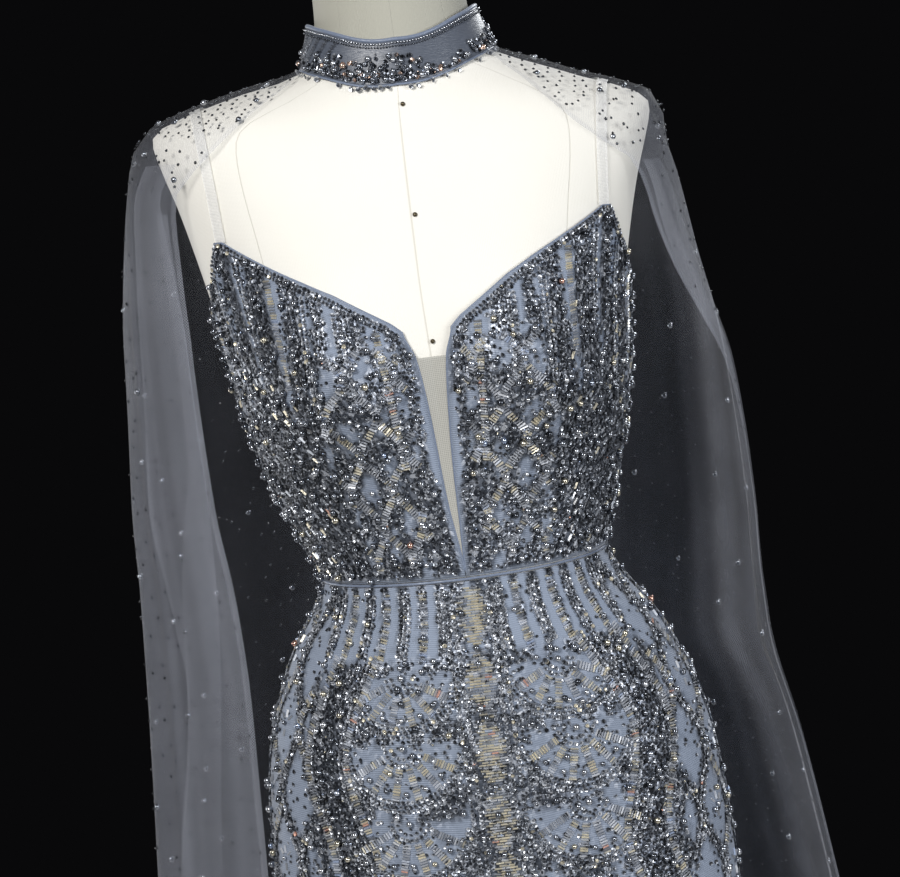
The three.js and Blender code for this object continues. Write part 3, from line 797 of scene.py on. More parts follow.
def tone(red: float, green: float, blue: float) -> Colour:
    """Turns a colour on the usual scale of 0 to 255 into the linear light that shaders take."""
    shares = [value / 255 for value in (red, green, blue)]
    linear = [share / 12.92 if share <= 0.04045 else ((share + 0.055) / 1.055) ** 2.4 for share in shares]
    return (*linear, 1.0)


class Shade:
    """A material and the nodes that shade it, added one at a time."""

    def __init__(self, name: str, **settings: Setting) -> None:
        """Starts a material.

        Args:
            name: The material's name.
            settings: Constants for the main shader's sockets, with _ for each space.
        """
        self.material = bpy.data.materials.new(name)
        self.material.use_nodes = True
        self.tree = self.material.node_tree
        self.shader = self.tree.nodes["Principled BSDF"]
        for socket, value in settings.items():
            self.give(self.shader, socket.replace("_", " "), value)

    def give(self, node: bpy.types.Node, socket: str | int, value: Setting) -> None:
        """Gives a node's input a constant or a link."""
        if isinstance(value, Socket):
            self.tree.links.new(value, node.inputs[socket])
        else:
            node.inputs[socket].default_value = value

    def node(
        self, kind: str, inputs: dict[str | int, Setting], **choices: str | bool | int
    ) -> bpy.types.Node:
        """Adds a node.

        Args:
            kind: The node's type, without its leading ShaderNode.
            inputs: Constants or links for its inputs.
            choices: Its other settings.

        Returns:
            The node.
        """
        node = self.tree.nodes.new("ShaderNode" + kind)
        for name, value in choices.items():
            setattr(node, name, value)
        for socket, value in inputs.items():
            self.give(node, socket, value)
        return node

    def maths(self, operation: str, *values: Setting, clamp: bool = False) -> Socket:
        """Works out one number from others."""
        return self.node("Math", dict(enumerate(values)), operation=operation, use_clamp=clamp).outputs[0]

    def painted(self, name: str) -> Socket:
        """Reads a number that was kept on the piece's points."""
        return self.node("Attribute", {}, attribute_name=name).outputs["Fac"]

    def cloth_places(self) -> tuple[Socket, Socket, Socket]:
        """Reads the places across and along the cloth in metres, together and apart."""
        place = self.node("UVMap", {}, uv_map="cloth").outputs["UV"]
        apart = self.node("SeparateXYZ", {0: place})
        return place, apart.outputs["X"], apart.outputs["Y"]

    def object_place(self) -> Socket:
        """Reads the place in the shared frame in metres."""
        return self.node("TexCoord", {}).outputs["Object"]

    def noise(self, place: Socket, size: float, detail: float = 3.0) -> Socket:
        """Makes soft noise with lumps of a size in millimetres."""
        inputs = {"Vector": place, "Scale": 1 / (size * MM), "Detail": detail}
        return self.node("TexNoise", inputs).outputs["Fac"]

    def ripple(self, place: Socket, pitch: float) -> Socket:
        """Makes ridges of a pitch in millimetres, from 0 to 1."""
        wave = self.maths("SINE", self.maths("MULTIPLY", place, 2 * math.pi / (pitch * MM)))
        return self.maths("MULTIPLY_ADD", wave, 0.5, 0.5)

    def near(self, value: Socket, centre: float, width: float) -> Socket:
        """Is 1 where a value is at the centre and 0 from `width` away."""
        away = self.maths("ABSOLUTE", self.maths("SUBTRACT", value, centre))
        return self.maths("SUBTRACT", 1.0, self.maths("DIVIDE", away, width), clamp=True)

    def ramp(self, value: Socket, stops: Sequence[tuple[float, Colour]]) -> Socket:
        """Turns a number into a colour by stops."""
        node = self.node("ValToRGB", {0: value})
        node.color_ramp.interpolation = "LINEAR"
        elements = node.color_ramp.elements
        while len(elements) < len(stops):
            elements.new(0.5)
        for element, (place, colour) in zip(elements, stops):
            element.position = place
            element.color = colour
        return node.outputs["Color"]

    def blend(self, share: Setting, first: Setting, second: Setting) -> Socket:
        """Blends two colours."""
        node = self.node("Mix", {}, data_type="RGBA")
        for name, value in (("Factor_Float", share), ("A_Color", first), ("B_Color", second)):
            socket = next(one for one in node.inputs if one.identifier == name)
            if isinstance(value, Socket):
                self.tree.links.new(value, socket)
            else:
                socket.default_value = value
        return next(one for one in node.outputs if one.identifier == "Result_Color")

    def relief(self, height: Socket, depth: float, strength: float = 1.0) -> None:
        """Raises the surface by a height of 0 to 1, over a depth in millimetres."""
        bump = self.node("Bump", {"Height": height, "Distance": depth * MM, "Strength": strength})
        self.give(self.shader, "Normal", bump.outputs["Normal"])


@dataclass(frozen=True)
class RibbedCloth:
    """Blue-grey cloth with fine crosswise ribs and painted shade in the grooves between them, thick with
    tiny spangles wherever `fill` is painted.
    """

    colour: Colour = tone(142, 153, 172)
    # The grooves' colour is painted shade: the cloth is darker where it dips between the ribs.
    groove_shade: Colour = tone(132, 143, 161)
    rib: float = 1.6
    spangle: float = 3.0

    def material(self) -> bpy.types.Material:
        """Makes the material."""
        shade = Shade("gown_cloth", Sheen_Weight=0.35, Sheen_Roughness=0.4, Specular_IOR_Level=0.35)
        place, _, along = shade.cloth_places()
        fill = shade.painted("fill")
        wander = shade.maths("MULTIPLY_ADD", shade.noise(place, 18), 0.0012, along)
        ribs = shade.ripple(wander, self.rib)
        # Painted shade: the colour sinks to the darker groove colour between the ribs.
        cloth = shade.blend(ribs, self.groove_shade, self.colour)
        size = 1 / (self.spangle * MM)
        cells = shade.node("TexVoronoi", {"Vector": place, "Scale": size, "Randomness": 0.8})
        chance = shade.node("SeparateXYZ", {0: cells.outputs["Color"]}).outputs["X"]
        steel = (tone(24, 26, 30), tone(66, 70, 78), tone(128, 134, 146), tone(214, 218, 226))
        spangles = shade.ramp(chance, tuple(zip((0.0, 0.4, 0.8, 1.0), steel)))
        shade.give(shade.shader, "Base Color", shade.blend(fill, cloth, spangles))
        shade.give(shade.shader, "Metallic", shade.maths("MULTIPLY", fill, 0.85))
        shade.give(shade.shader, "Roughness", shade.maths("MULTIPLY_ADD", fill, -0.3, 0.68))
        dome = shade.maths("MULTIPLY", shade.maths("SUBTRACT", 1.0, cells.outputs["Distance"]), fill)
        flat = shade.maths("SUBTRACT", 1.0, fill)
        between = shade.maths("MULTIPLY", flat, shade.maths("MULTIPLY", ribs, 0.35))
        shade.relief(shade.maths("ADD", dome, between), 0.6)
        return shade.material


@dataclass(frozen=True)
class Satin:
    """Smooth satin with a crosswise grain and slight slubs."""

    name: str
    colour: Colour
    shadow: Colour
    roughness: float = 0.38

    def material(self) -> bpy.types.Material:
        """Makes the material."""
        shade = Shade(self.name, Sheen_Weight=0.25, Specular_IOR_Level=0.6, Anisotropic=0.4)
        place = shade.object_place()
        streaks = shade.node("Mapping", {"Vector": place, "Scale": (1.0, 1.0, 7.0)}).outputs["Vector"]
        grain = shade.noise(streaks, 5.0, 5.0)
        shade.give(shade.shader, "Base Color", shade.blend(grain, self.shadow, self.colour))
        shade.give(shade.shader, "Roughness", shade.maths("MULTIPLY_ADD", grain, 0.2, self.roughness - 0.1))
        shade.relief(grain, 0.25)
        return shade.material


@dataclass(frozen=True)
class Tulle:
    """Sheer net. The number painted as `layers` says how thickly it is gathered at each place, and is
    lowered behind as painted shade.
    """

    name: str = "cape_tulle"
    colour: Colour = tone(172, 176, 188)
    cover: float = 0.42
    mesh: float = 2.2

    def material(self) -> bpy.types.Material:
        """Makes the material."""
        shade = Shade(
            self.name, Roughness=0.55, Sheen_Weight=0.5, Sheen_Roughness=0.35, Specular_IOR_Level=0.4
        )
        place, across, along = shade.cloth_places()
        slant = shade.maths("ADD", across, along)
        counter = shade.maths("SUBTRACT", across, along)
        threads = shade.maths("MAXIMUM", shade.ripple(slant, self.mesh), shade.ripple(counter, self.mesh))
        net = shade.maths("MULTIPLY_ADD", shade.maths("POWER", threads, 3.0), 0.9, 0.45)
        cloud = shade.maths("MULTIPLY_ADD", shade.noise(place, 60, 4.0), 0.7, 0.65)
        thick = shade.maths("MULTIPLY", shade.painted("layers"), shade.maths("MULTIPLY", net, cloud))
        shade.give(shade.shader, "Alpha", shade.maths("MULTIPLY", thick, self.cover, clamp=True))
        shade.give(shade.shader, "Base Color", shade.blend(threads, tone(138, 143, 156), self.colour))
        return shade.material


@dataclass(frozen=True)
class FineNet:
    """A half-clear net with a fine weave: the mesh of the insert or the tape of a strap."""

    name: str
    colour: Colour
    cover: float
    mesh: float
    roughness: float = 0.6

    def material(self) -> bpy.types.Material:
        """Makes the material."""
        shade = Shade(self.name, Roughness=self.roughness, Sheen_Weight=0.3)
        _, across, along = shade.cloth_places()
        weave = shade.maths("MAXIMUM", shade.ripple(across, self.mesh), shade.ripple(along, self.mesh))
        dark = tuple(0.8 * part for part in self.colour[:3]) + (1.0,)
        shade.give(shade.shader, "Base Color", shade.blend(weave, dark, self.colour))
        cover = shade.maths("MULTIPLY_ADD", weave, 0.3, self.cover - 0.15, clamp=True)
        shade.give(shade.shader, "Alpha", cover)
        shade.relief(weave, 0.15)
        return shade.material


@dataclass(frozen=True)
class BeadFinish:
    """Polished beads whose colour runs with their `tint` from dark steel through silver to gold."""

    name: str
    roughness: float
    metallic: float = 0.9
    stops: tuple[tuple[float, Colour], ...] = (
        (0.0, tone(18, 20, 24)),
        (0.25, tone(70, 74, 82)),
        (0.5, tone(150, 155, 164)),
        (0.72, tone(225, 228, 234)),
        (0.8, tone(176, 192, 220)),
        # The rose stop is a painted warm reflection, for the glints of a few beads.
        (0.84, tone(226, 178, 160)),
        (0.88, tone(196, 190, 174)),
        (1.0, tone(226, 219, 198)),
    )

    def material(self) -> bpy.types.Material:
        """Makes the material."""
        shade = Shade(
            self.name, Metallic=self.metallic, Specular_IOR_Level=0.7, Coat_Weight=0.3, Coat_Roughness=0.1
        )
        tint = shade.painted("tint")
        shade.give(shade.shader, "Base Color", shade.ramp(tint, self.stops))
        patch = shade.noise(shade.object_place(), 6.0)
        rough = shade.maths("MULTIPLY_ADD", patch, 0.16, self.roughness - 0.08)
        shade.give(shade.shader, "Roughness", rough)
        return shade.material


@dataclass(frozen=True)
class FormCloth:
    """Ivory jersey over the form, with faint seams and painted shade that greys the neck."""

    colour: Colour = tone(237, 235, 228)
    seam: Colour = tone(208, 205, 195)
    # The neck's grey is painted shade; the jersey itself is the same colour all over.
    neck: Colour = tone(170, 169, 158)
    neck_shade_from: float = 395.0
    seams_at: tuple[float, ...] = (0.0, 0.23, 0.5, 0.77, 1.0)

    def material(self) -> bpy.types.Material:
        """Makes the material."""
        shade = Shade("form_cloth", Roughness=0.85, Sheen_Weight=0.2, Specular_IOR_Level=0.25)
        place, across, along = shade.cloth_places()
        share = shade.maths("ABSOLUTE", shade.painted("share"))
        seams = shade.near(share, self.seams_at[0], 0.0016)
        for at in self.seams_at[1:]:
            seams = shade.maths("MAXIMUM", seams, shade.near(share, at, 0.0016))
        up = shade.painted("up")
        # Painted shade: the jersey turns grey over the neck, from this height up.
        neck = shade.maths("DIVIDE", shade.maths("SUBTRACT", up, self.neck_shade_from), 14.0, clamp=True)
        body = shade.blend(seams, self.colour, self.seam)
        wear = shade.maths("MULTIPLY", shade.noise(place, 45, 5.0), 0.16)
        shade.give(
            shade.shader,
            "Base Color",
            shade.blend(neck, shade.blend(wear, body, tone(225, 220, 205)), self.neck),
        )
        knit = shade.maths("MULTIPLY", shade.ripple(across, 1.3), shade.ripple(along, 1.0))
        dip = shade.maths("SUBTRACT", shade.maths("MULTIPLY", knit, 0.4), seams)
        shade.relief(dip, 0.4, 0.6)
        return shade.material


@dataclass(frozen=True)
class Metal:
    """Plain metal or lacquer with a fine finish and faint scuffs."""

    name: str
    colour: Colour
    metallic: float
    roughness: float

    def material(self) -> bpy.types.Material:
        """Makes the material."""
        shade = Shade(self.name, Metallic=self.metallic, Specular_IOR_Level=0.5)
        place = shade.object_place()
        scuffs = shade.noise(place, 30, 8.0)
        worn = tuple(0.75 * part for part in self.colour[:3]) + (1.0,)
        shade.give(shade.shader, "Base Color", shade.blend(scuffs, worn, self.colour))
        rough = shade.maths("MULTIPLY_ADD", scuffs, 0.25, self.roughness - 0.12)
        shade.give(shade.shader, "Roughness", rough)
        shade.relief(shade.noise(place, 1.2), 0.05)
        return shade.material


PIPING_SATIN = Satin("piping", tone(124, 136, 158), tone(94, 105, 126))


# ---------- Beads ----------

SEQUIN_EYE = 0.45  # how much darker a sequin is in its middle


class Bead(Enum):
    """The kinds of bead sewn on the gown."""

    SEQUIN = "sequin"
    SEED = "seed"
    ROD = "rod"
    BALL = "ball"

    def shape(self) -> tuple[Array, Array, Array]:
        """Makes one bead a unit wide, lying on its back.

        Returns:
            Its corners, its triangles as rows of three corners, and how much darker each corner is.
        """
        bm = bmesh.new()
        if self is Bead.SEQUIN:
            bmesh.ops.create_cone(bm, segments=6, radius1=0.0, radius2=0.5, depth=0.24)
        elif self is Bead.SEED:
            bmesh.ops.create_uvsphere(bm, u_segments=5, v_segments=2, radius=0.5)
        elif self is Bead.BALL:
            bmesh.ops.create_uvsphere(bm, u_segments=7, v_segments=5, radius=0.5)
        else:
            # Three sides are enough, with a ridge outwards: the rest lies against the cloth.
            bmesh.ops.create_cone(bm, cap_ends=True, segments=3, radius1=0.56, radius2=0.56, depth=1.0)
            lying = Matrix.Rotation(math.pi / 2, 3, "X") @ Matrix.Rotation(math.pi / 2, 3, "Y")
            bmesh.ops.rotate(bm, verts=bm.verts, cent=(0, 0, 0), matrix=lying)
        bmesh.ops.remove_doubles(bm, verts=bm.verts, dist=1e-5)
        bmesh.ops.triangulate(bm, faces=bm.faces)
        corners = np.array([vert.co[:] for vert in bm.verts])
        triangles = np.array([[vert.index for vert in face.verts] for face in bm.faces])
        bm.free()
        eye = np.linalg.norm(corners[:, :2], axis=1) < 0.1
        return corners, triangles, np.where(eye & (self is Bead.SEQUIN), SEQUIN_EYE, 0.0)


@dataclass
class Beading:
    """Beads of one kind, gathered on one or more cloths and then made into one mesh.

    Attributes:
        bead: The kind.
        seed: Start of its random numbers.
        sewn: What is sewn so far on each cloth, as rows of the numbers that sew takes.
    """

    bead: Bead
    seed: int
    sewn: dict[Cloth, list[Array]] = field(default_factory=dict)

    def sew(
        self,
        cloth: Cloth,
        across: Array,
        along: Array,
        size: Sequence[float],
        proud: Array | float,
        tint: Array | float,
        spin: Array | float = 0.0,
        tilt: float = 0.12,
        vary: float = 0.12,
    ) -> None:
        """Sews beads on a cloth.

        Args:
            cloth: What they are sewn on.
            across: Their places across.
            along: Their places along.
            size: Length, width and height of a bead in millimetres.
            proud: How far their middles stand off the cloth.
            tint: Their tints.
            spin: Turn of each in the cloth's plane, from across towards along.
            tilt: How unevenly they lie.
            vary: How much their sizes differ.
        """
        rows = np.stack(np.broadcast_arrays(across, along, *size, proud, tint, spin, tilt, vary), axis=-1)
        self.sewn.setdefault(cloth, []).append(rows.reshape(-1, 10).astype(float))

    def laid(
        self, cloth: Cloth, rows: Array, chance: np.random.Generator
    ) -> tuple[Array, Array, Array, Array]:
        """Finds how beads lie on a cloth.

        Args:
            cloth: The cloth.
            rows: The rows that sew keeps.
            chance: Random numbers.

        Returns:
            Places in metres, axes, sizes in millimetres and tints.
        """
        across, along, length, width, height, proud, tint, spin, tilt, vary = rows.T
        point, side, rise, out = cloth.frames(across, along)
        place = askew(point + out * (cloth.face + proud)[:, None])
        lean = chance.normal(0, 1, (2, len(rows), 1)) * tilt[:, None]
        out = unit(out + lean[0] * side + lean[1] * rise)
        first = np.cos(spin)[:, None] * side + np.sin(spin)[:, None] * rise
        first = unit(first - out * np.sum(first * out, axis=-1, keepdims=True))
        axes = np.stack([first, np.cross(out, first), out], axis=1)
        swell = 1 + vary * chance.uniform(-1, 1, len(rows))
        sizes = np.stack([length, width, height], axis=-1) * swell[:, None]
        return place, axes, sizes, np.clip(tint, 0, 1)

    def piece(self, name: str, material: bpy.types.Material, slot: str) -> bpy.types.Object:
        """Makes the piece from all that was sewn."""
        chance = np.random.default_rng(self.seed)
        groups = [self.laid(cloth, np.concatenate(rows), chance) for cloth, rows in self.sewn.items()]
        place, axes, sizes, tints = (np.concatenate(part) for part in zip(*groups))
        corners, triangles, darker = self.bead.shape()
        scaled = corners[None] * sizes[:, None, :] * MM
        points = place[:, None, :] + np.einsum("nij,njk->nik", scaled, axes)
        faces = triangles[None] + (np.arange(len(place)) * len(corners))[:, None, None]
        mesh = bpy.data.meshes.new(name)
        mesh.vertices.add(points.shape[0] * points.shape[1])
        mesh.vertices.foreach_set("co", points.ravel())
        mesh.loops.add(faces.size)
        mesh.loops.foreach_set("vertex_index", faces.ravel())
        mesh.polygons.add(faces.size // 3)
        mesh.polygons.foreach_set("loop_start", np.arange(0, faces.size, 3))
        mesh.update(calc_edges=True)
        round_bead = self.bead in (Bead.BALL, Bead.SEED)
        mesh.polygons.foreach_set("use_smooth", [round_bead] * len(mesh.polygons))
        shaded = np.clip(tints[:, None] - darker[None] * (tints[:, None] < 0.84), 0, 1)
        mesh.attributes.new("tint", "FLOAT", "POINT").data.foreach_set("value", shaded.ravel())
        return finished(mesh, name, material)


# ---------- Layout of the beadwork ----------


@dataclass(frozen=True)
class Path:
    """A line on the gown, as shares of the way round and heights, at even steps along it."""

    share: Array
    up: Array
    turn: Array

    @staticmethod
    def through(share: Array, up: Array, step: float) -> "Path":
        """Lays a path through close points and keeps places at even steps.

        Args:
            share: Shares of the way round.
            up: Heights.
            step: The step in millimetres.

        Returns:
            The path, with its direction at each place.
        """
        x = share * UNROLLED.quarter(up)
        run = np.concatenate([[0.0], np.cumsum(np.hypot(np.diff(x), np.diff(up)))])
        stops = np.arange(step / 2, run[-1], step)
        turn = np.arctan2(np.gradient(up), np.gradient(x))
        return Path(np.interp(stops, run, share), np.interp(stops, run, up), np.interp(stops, run, turn))

    def beside(self, aside: Array | float) -> tuple[Array, Array]:
        """Finds the places beside the path, to its left by some millimetres."""
        share = self.share - np.sin(self.turn) * aside / UNROLLED.quarter(self.up)
        return share, self.up + np.cos(self.turn) * aside


def jittered(pitch: float, low: float, high: float, chance: np.random.Generator) -> tuple[Array, Array]:
    """Scatters places over the gown in uneven rows.

    Args:
        pitch: Their distance apart in millimetres.
        low: The lowest height.
        high: The highest.
        chance: Random numbers.

    Returns:
        Shares of the way round and heights.
    """
    shares, ups = [], []
    for number, up in enumerate(np.arange(low, high, pitch * 0.88)):
        count = int(4 * UNROLLED.quarter(up) / pitch)
        share = (np.arange(count) + 0.5 * (number % 2)) / count * 4 - 2
        wander = chance.normal(0, 0.2 * pitch, (2, count))
        shares.append(share + wander[0] / UNROLLED.quarter(up))
        ups.append(up + wander[1])
    return np.concatenate(shares), np.concatenate(ups)


def ogee_lines(across: Array, along: Array) -> Array:
    """How far a place is from the nearest line of an ogee lattice, in shares of a window's width."""
    swing = 0.25 * np.cos(2 * math.pi * along)
    first = np.abs((across - swing + 0.5) % 1 - 0.5)
    second = np.abs((across + swing) % 1 - 0.5)
    return np.minimum(first, second)


@dataclass(frozen=True)
class Lattice:
    """An ogee lattice on part of the gown: where it starts and ends round it, and its windows' size."""

    start: float
    end: float
    width: float
    height: float
    offset: float = 0.0

    def away(self, share: Array, up: Array) -> Array:
        """How far places are from the lattice's lines, in millimetres."""
        lines = ogee_lines((np.abs(share) - self.start) / self.width, (up + self.offset) / self.height)
        return lines * self.width * UNROLLED.quarter(up)

    def holds(self, share: Array) -> Array:
        """Whether places are on the lattice's part of the gown."""
        return (np.abs(share) >= self.start) & (np.abs(share) <= self.end)

    def paths(self, low: float, high: float, step: float) -> list[Path]:
        """Lays the lattice's lines between two heights on the wearer's left."""
        up = np.arange(high, low, -2.0)
        swing = 0.25 * np.cos(2 * math.pi * (up + self.offset) / self.height)
        found = []
        for number in range(int((self.end - self.start) / self.width) + 2):
            for share in (number + swing, number + 0.5 - swing):
                place = self.start + self.width * share
                inside = (place >= self.start - 0.001) & (place <= self.end)
                if np.count_nonzero(inside) > 12:
                    found += self.runs(place, up, inside, step)
        return found

    def runs(self, place: Array, up: Array, inside: Array, step: float) -> list[Path]:
        """Cuts a line where it leaves the lattice and lays a path on each run that is left."""
        cuts = np.flatnonzero(np.diff(inside.astype(int))) + 1
        pieces = [part for part in np.split(np.arange(len(up)), cuts) if inside[part[0]] and len(part) > 6]
        return [Path.through(place[part], up[part], step) for part in pieces]

    def crossings(self, low: float, high: float) -> tuple[Array, Array]:
        """Finds where the lattice's lines meet."""
        places = []
        lowest = math.floor((low + self.offset) / self.height * 2)
        highest = math.ceil(high / self.height * 2) + 2
        for half in range(lowest, highest):
            up = half * self.height / 2 - self.offset
            for number in range(int((self.end - self.start) / self.width) + 2):
                share = self.start + self.width * (number + (0.25 if half % 2 == 0 else -0.25))
                if self.start <= share <= self.end and low < up < high:
                    places.append((share, up))
        return tuple(np.array(places).T) if places else (np.zeros(0), np.zeros(0))


@dataclass
class Beadwork:
    """The beads of the gown: fields of sequins, and lines, feathers and fans of rods, seeds and balls.

    The layout is a plain one of its own: feathers that fall from the edges and the waist, rows of fans, a
    dark garland at each side of them, and an ogee lattice round the sides and back.
    """

    sequin: float = 3.6
    seed: float = 2.1
    rod: tuple[float, float] = (5.6, 1.7)
    ball: float = 5.2
    pitch: float = 3.9
    rung: float = 2.1  # pitch of the rods in a ladder
    garland: tuple[float, float, float] = (0.53, 0.045, 170.0)  # where, swing and length of a wave
    garland_half: float = 15.0
    column_half: float = 9.0
    lozenge: float = 52.0  # length of one lozenge of the column
    fans: tuple[float, float] = (0.29, 0.44)  # their middle and their width
    fan_step: float = 1.16  # from one to the next, as a share of their radius
    feather_length: float = 58.0
    skirt_lattice: Lattice = Lattice(0.66, 2.0, 0.19, 104.0)
    neck_lattice: Lattice = Lattice(0.1, 0.42, 0.16, 58.0, 12.0)
    streaks: float = 8.5  # to a quarter of the bodice
    sparse_below: float = -420.0
    ladders_above: float = -470.0  # lower down, and behind, single rods take their place
    ladders_to: float = 1.3

    def __post_init__(self) -> None:
        """Gets thread and beads ready."""
        self.chance = np.random.default_rng(40)
        self.sets = {
            (part, bead): Beading(bead, 100 + 10 * number + order)
            for number, part in enumerate(("bodice", "skirt_front", "skirt_back"))
            for order, bead in enumerate(Bead)
        }

    # Where the beads may be

    def bodice_top(self, share: Array) -> Array:
        """The height of the bodice's top edge."""
        turn = np.degrees(np.abs(UNROLLED.turn(share, np.full(np.shape(share), 240.0))))
        return np.where(turn < 90, straight(CUP_TOP, turn), straight(BACK_TOP, turn))

    def open_front(self, up: Array) -> Array:
        """The share of the way round at which the plunge's edge lies."""
        return (PLUNGE_CURVE(up) + 1.2) / UNROLLED.quarter(up)

    def on_bodice(self, share: Array, up: Array, margin: float = 2.5) -> Array:
        """Whether places are on the bodice, clear of its edges."""
        below = up < self.bodice_top(share) - 0.4 * margin
        beside = np.abs(share) > self.open_front(up) + margin / UNROLLED.quarter(up)
        return (up > PIPING_EDGE + margin) & below & beside & (np.abs(share) < 1.985)

    def garland_share(self, up: Array) -> Array:
        """The middle of the garland."""
        at, swing, wave = self.garland
        return at + swing * np.sin(2 * math.pi * up / wave)

    def thinning(self, share: Array, up: Array) -> Array:
        """How thick the work is, from 1 at the front of the hips to less at the hem and behind."""
        low = np.clip((up - HEM) / (self.sparse_below - HEM), 0, 1)
        behind = np.clip((np.abs(share) - 0.9) / 0.8, 0, 1)
        return (0.45 + 0.55 * low) * (1 - 0.42 * behind)

    def skirt_cover(self, share: Array, up: Array) -> Array:
        """How thickly the skirt is covered at places, from 0 to 1."""
        across = np.abs(share)
        quarter = UNROLLED.quarter(up)
        garland = np.abs(across - self.garland_share(up)) * quarter < self.garland_half
        column = np.abs(across * quarter - self.column_half - 6) < 4.5
        yoke = up > -self.feather_length
        stripe = np.cos(2 * math.pi * across / 0.085 + math.pi)
        feather = stripe > -0.2 + 1.1 * np.clip(-up / self.feather_length, 0, 1)
        lattice = self.skirt_lattice.holds(share)
        line = np.clip(1.7 - self.skirt_lattice.away(share, up) / 4.5, 0, 1)
        clump = np.cos(across * 41 + up / 19) * np.cos(up / 13 - across * 23)
        clump = (clump > -0.2) & ~self.within_fans(across, up)
        cover = np.where(lattice, 0.1 + 0.9 * line, np.where(clump, 0.92, 0.24))
        cover = np.where(yoke & (across < 0.66), np.where(feather, 0.9, 0.04), cover)
        cover = np.where(column, 0.8, cover)
        cover = np.where(garland & ~yoke, 0.97, cover)
        return cover * self.thinning(share, up)

    def fan_places(self) -> list[tuple[float, float]]:
        """Lists the heights and radii of the fans."""
        up, found = -self.feather_length - 10, []
        while up > HEM + 90:
            found.append((up, 0.5 * self.fans[1] * float(UNROLLED.quarter(up))))
            up -= found[-1][1] * self.fan_step
        return found

    def within_fans(self, across: Array, up: Array) -> Array:
        """Whether places lie inside a fan."""
        aside = (across - self.fans[0]) * UNROLLED.quarter(up)
        found = np.zeros(np.shape(up), dtype=bool)
        for hub, radius in self.fan_places():
            found |= (np.hypot(aside, up - hub) < radius * 0.94) & (up < hub)
        return found

    def bodice_cover(self, share: Array, up: Array) -> Array:
        """How thickly the bodice is covered at places, from 0 to 1."""
        across = np.abs(share)
        drop = self.bodice_top(share) - up
        stripe = np.cos(2 * math.pi * across * self.streaks + 0.9 * np.sin(across * 17))
        slit = stripe > -0.3 - 0.9 * np.clip((drop - 30) / 110, 0, 1)
        cover = np.where(slit, 0.95, 0.03)
        lattice = self.neck_lattice.holds(share) & (up < 178)
        line = np.clip(1.5 - self.neck_lattice.away(share, up) / 4.0, 0, 1)
        clump = np.cos(across * 37 + up / 17) * np.cos(up / 12 - across * 21)
        cover = np.where(lattice, np.where(clump > -0.25, 0.9, 0.24) + 0.5 * line, cover)
        behind = np.clip((across - 1.0) / 0.5, 0, 1)
        return np.where(self.on_bodice(share, up), cover * (1 - 0.3 * behind), 0)

    def cover(self, share: Array, up: Array) -> Array:
        """How thickly the gown is covered at places, from 0 to 1."""
        return np.where(up > 0, self.bodice_cover(share, up), self.skirt_cover(share, up))

    # Ways of sewing

    def sew(
        self, part: str, bead: Bead, share: Array, up: Array, tint: Array | float, **how: float
    ) -> None:
        """Sews beads of one kind on a part of the gown, each in its usual size.

        Args:
            part: bodice or skirt.
            bead: The kind.
            share: Shares of the way round.
            up: Heights.
            tint: Their tints.
            how: spin, and scale, which is the size against the usual one.
        """
        scale = how.pop("scale", 1.0)
        sizes = {
            Bead.SEQUIN: ((self.sequin,) * 3, 0.7, 0.3),
            Bead.SEED: ((self.seed,) * 3, self.seed * 0.45, 0.3),
            Bead.ROD: ((self.rod[0], self.rod[1], self.rod[1]), self.rod[1] * 0.4, 0.06),
            Bead.BALL: ((self.ball,) * 3, self.ball * 0.48, 0.2),
        }
        size, proud, tilt = sizes[bead]
        share, up = np.atleast_1d(share).ravel(), np.atleast_1d(up).ravel()
        tint = np.broadcast_to(tint, share.shape)
        spin = np.broadcast_to(how.pop("spin", 0.0), share.shape)
        if part == "bodice":
            inside = self.on_bodice(share, up, 1.5)
        else:
            inside = (up < -PIPING_EDGE) & (up > HEM + 4) & (np.abs(share) < 1.99)
        whole = tuple(scale * one for one in size)
        ahead = np.abs(share) < 1
        for name, here in self.parts(part, ahead):
            keep = inside & here
            self.sets[name, bead].sew(
                GOWN, share[keep], up[keep], whole, proud * scale, tint[keep], spin[keep], tilt
            )

    def parts(self, part: str, ahead: Array) -> list[tuple[str, Array]]:
        """Splits the skirt's beads into those in front and those behind."""
        if part == "bodice":
            return [(part, np.ones_like(ahead))]
        return [("skirt_front", ahead), ("skirt_back", ~ahead)]

    def both(
        self, part: str, bead: Bead, share: Array, up: Array, tint: Array | float, **how: float
    ) -> None:
        """Sews beads on both sides of the gown, the second a mirror of the first."""
        self.sew(part, bead, share, up, tint, **how)
        if "spin" in how:
            how["spin"] = -how["spin"]
        self.sew(part, bead, -share, up, tint, **how)

    def silver(self, count: int, middle: float = 0.58, spread: float = 0.13, gold: float = 0.05) -> Array:
        """Draws tints: mostly steel and silver, with a few of pale gold and a few rose ones that are a
        painted warm glint.
        """
        tints = np.clip(self.chance.normal(middle, spread, count), 0.02, 0.8)
        special = self.chance.random(count) < gold
        # A few beads are tinted rose as a painted warm reflection.
        rose_glint = self.chance.random(count) < 0.05
        return np.where(special, np.where(rose_glint, 0.84, self.chance.uniform(0.88, 1.0, count)), tints)

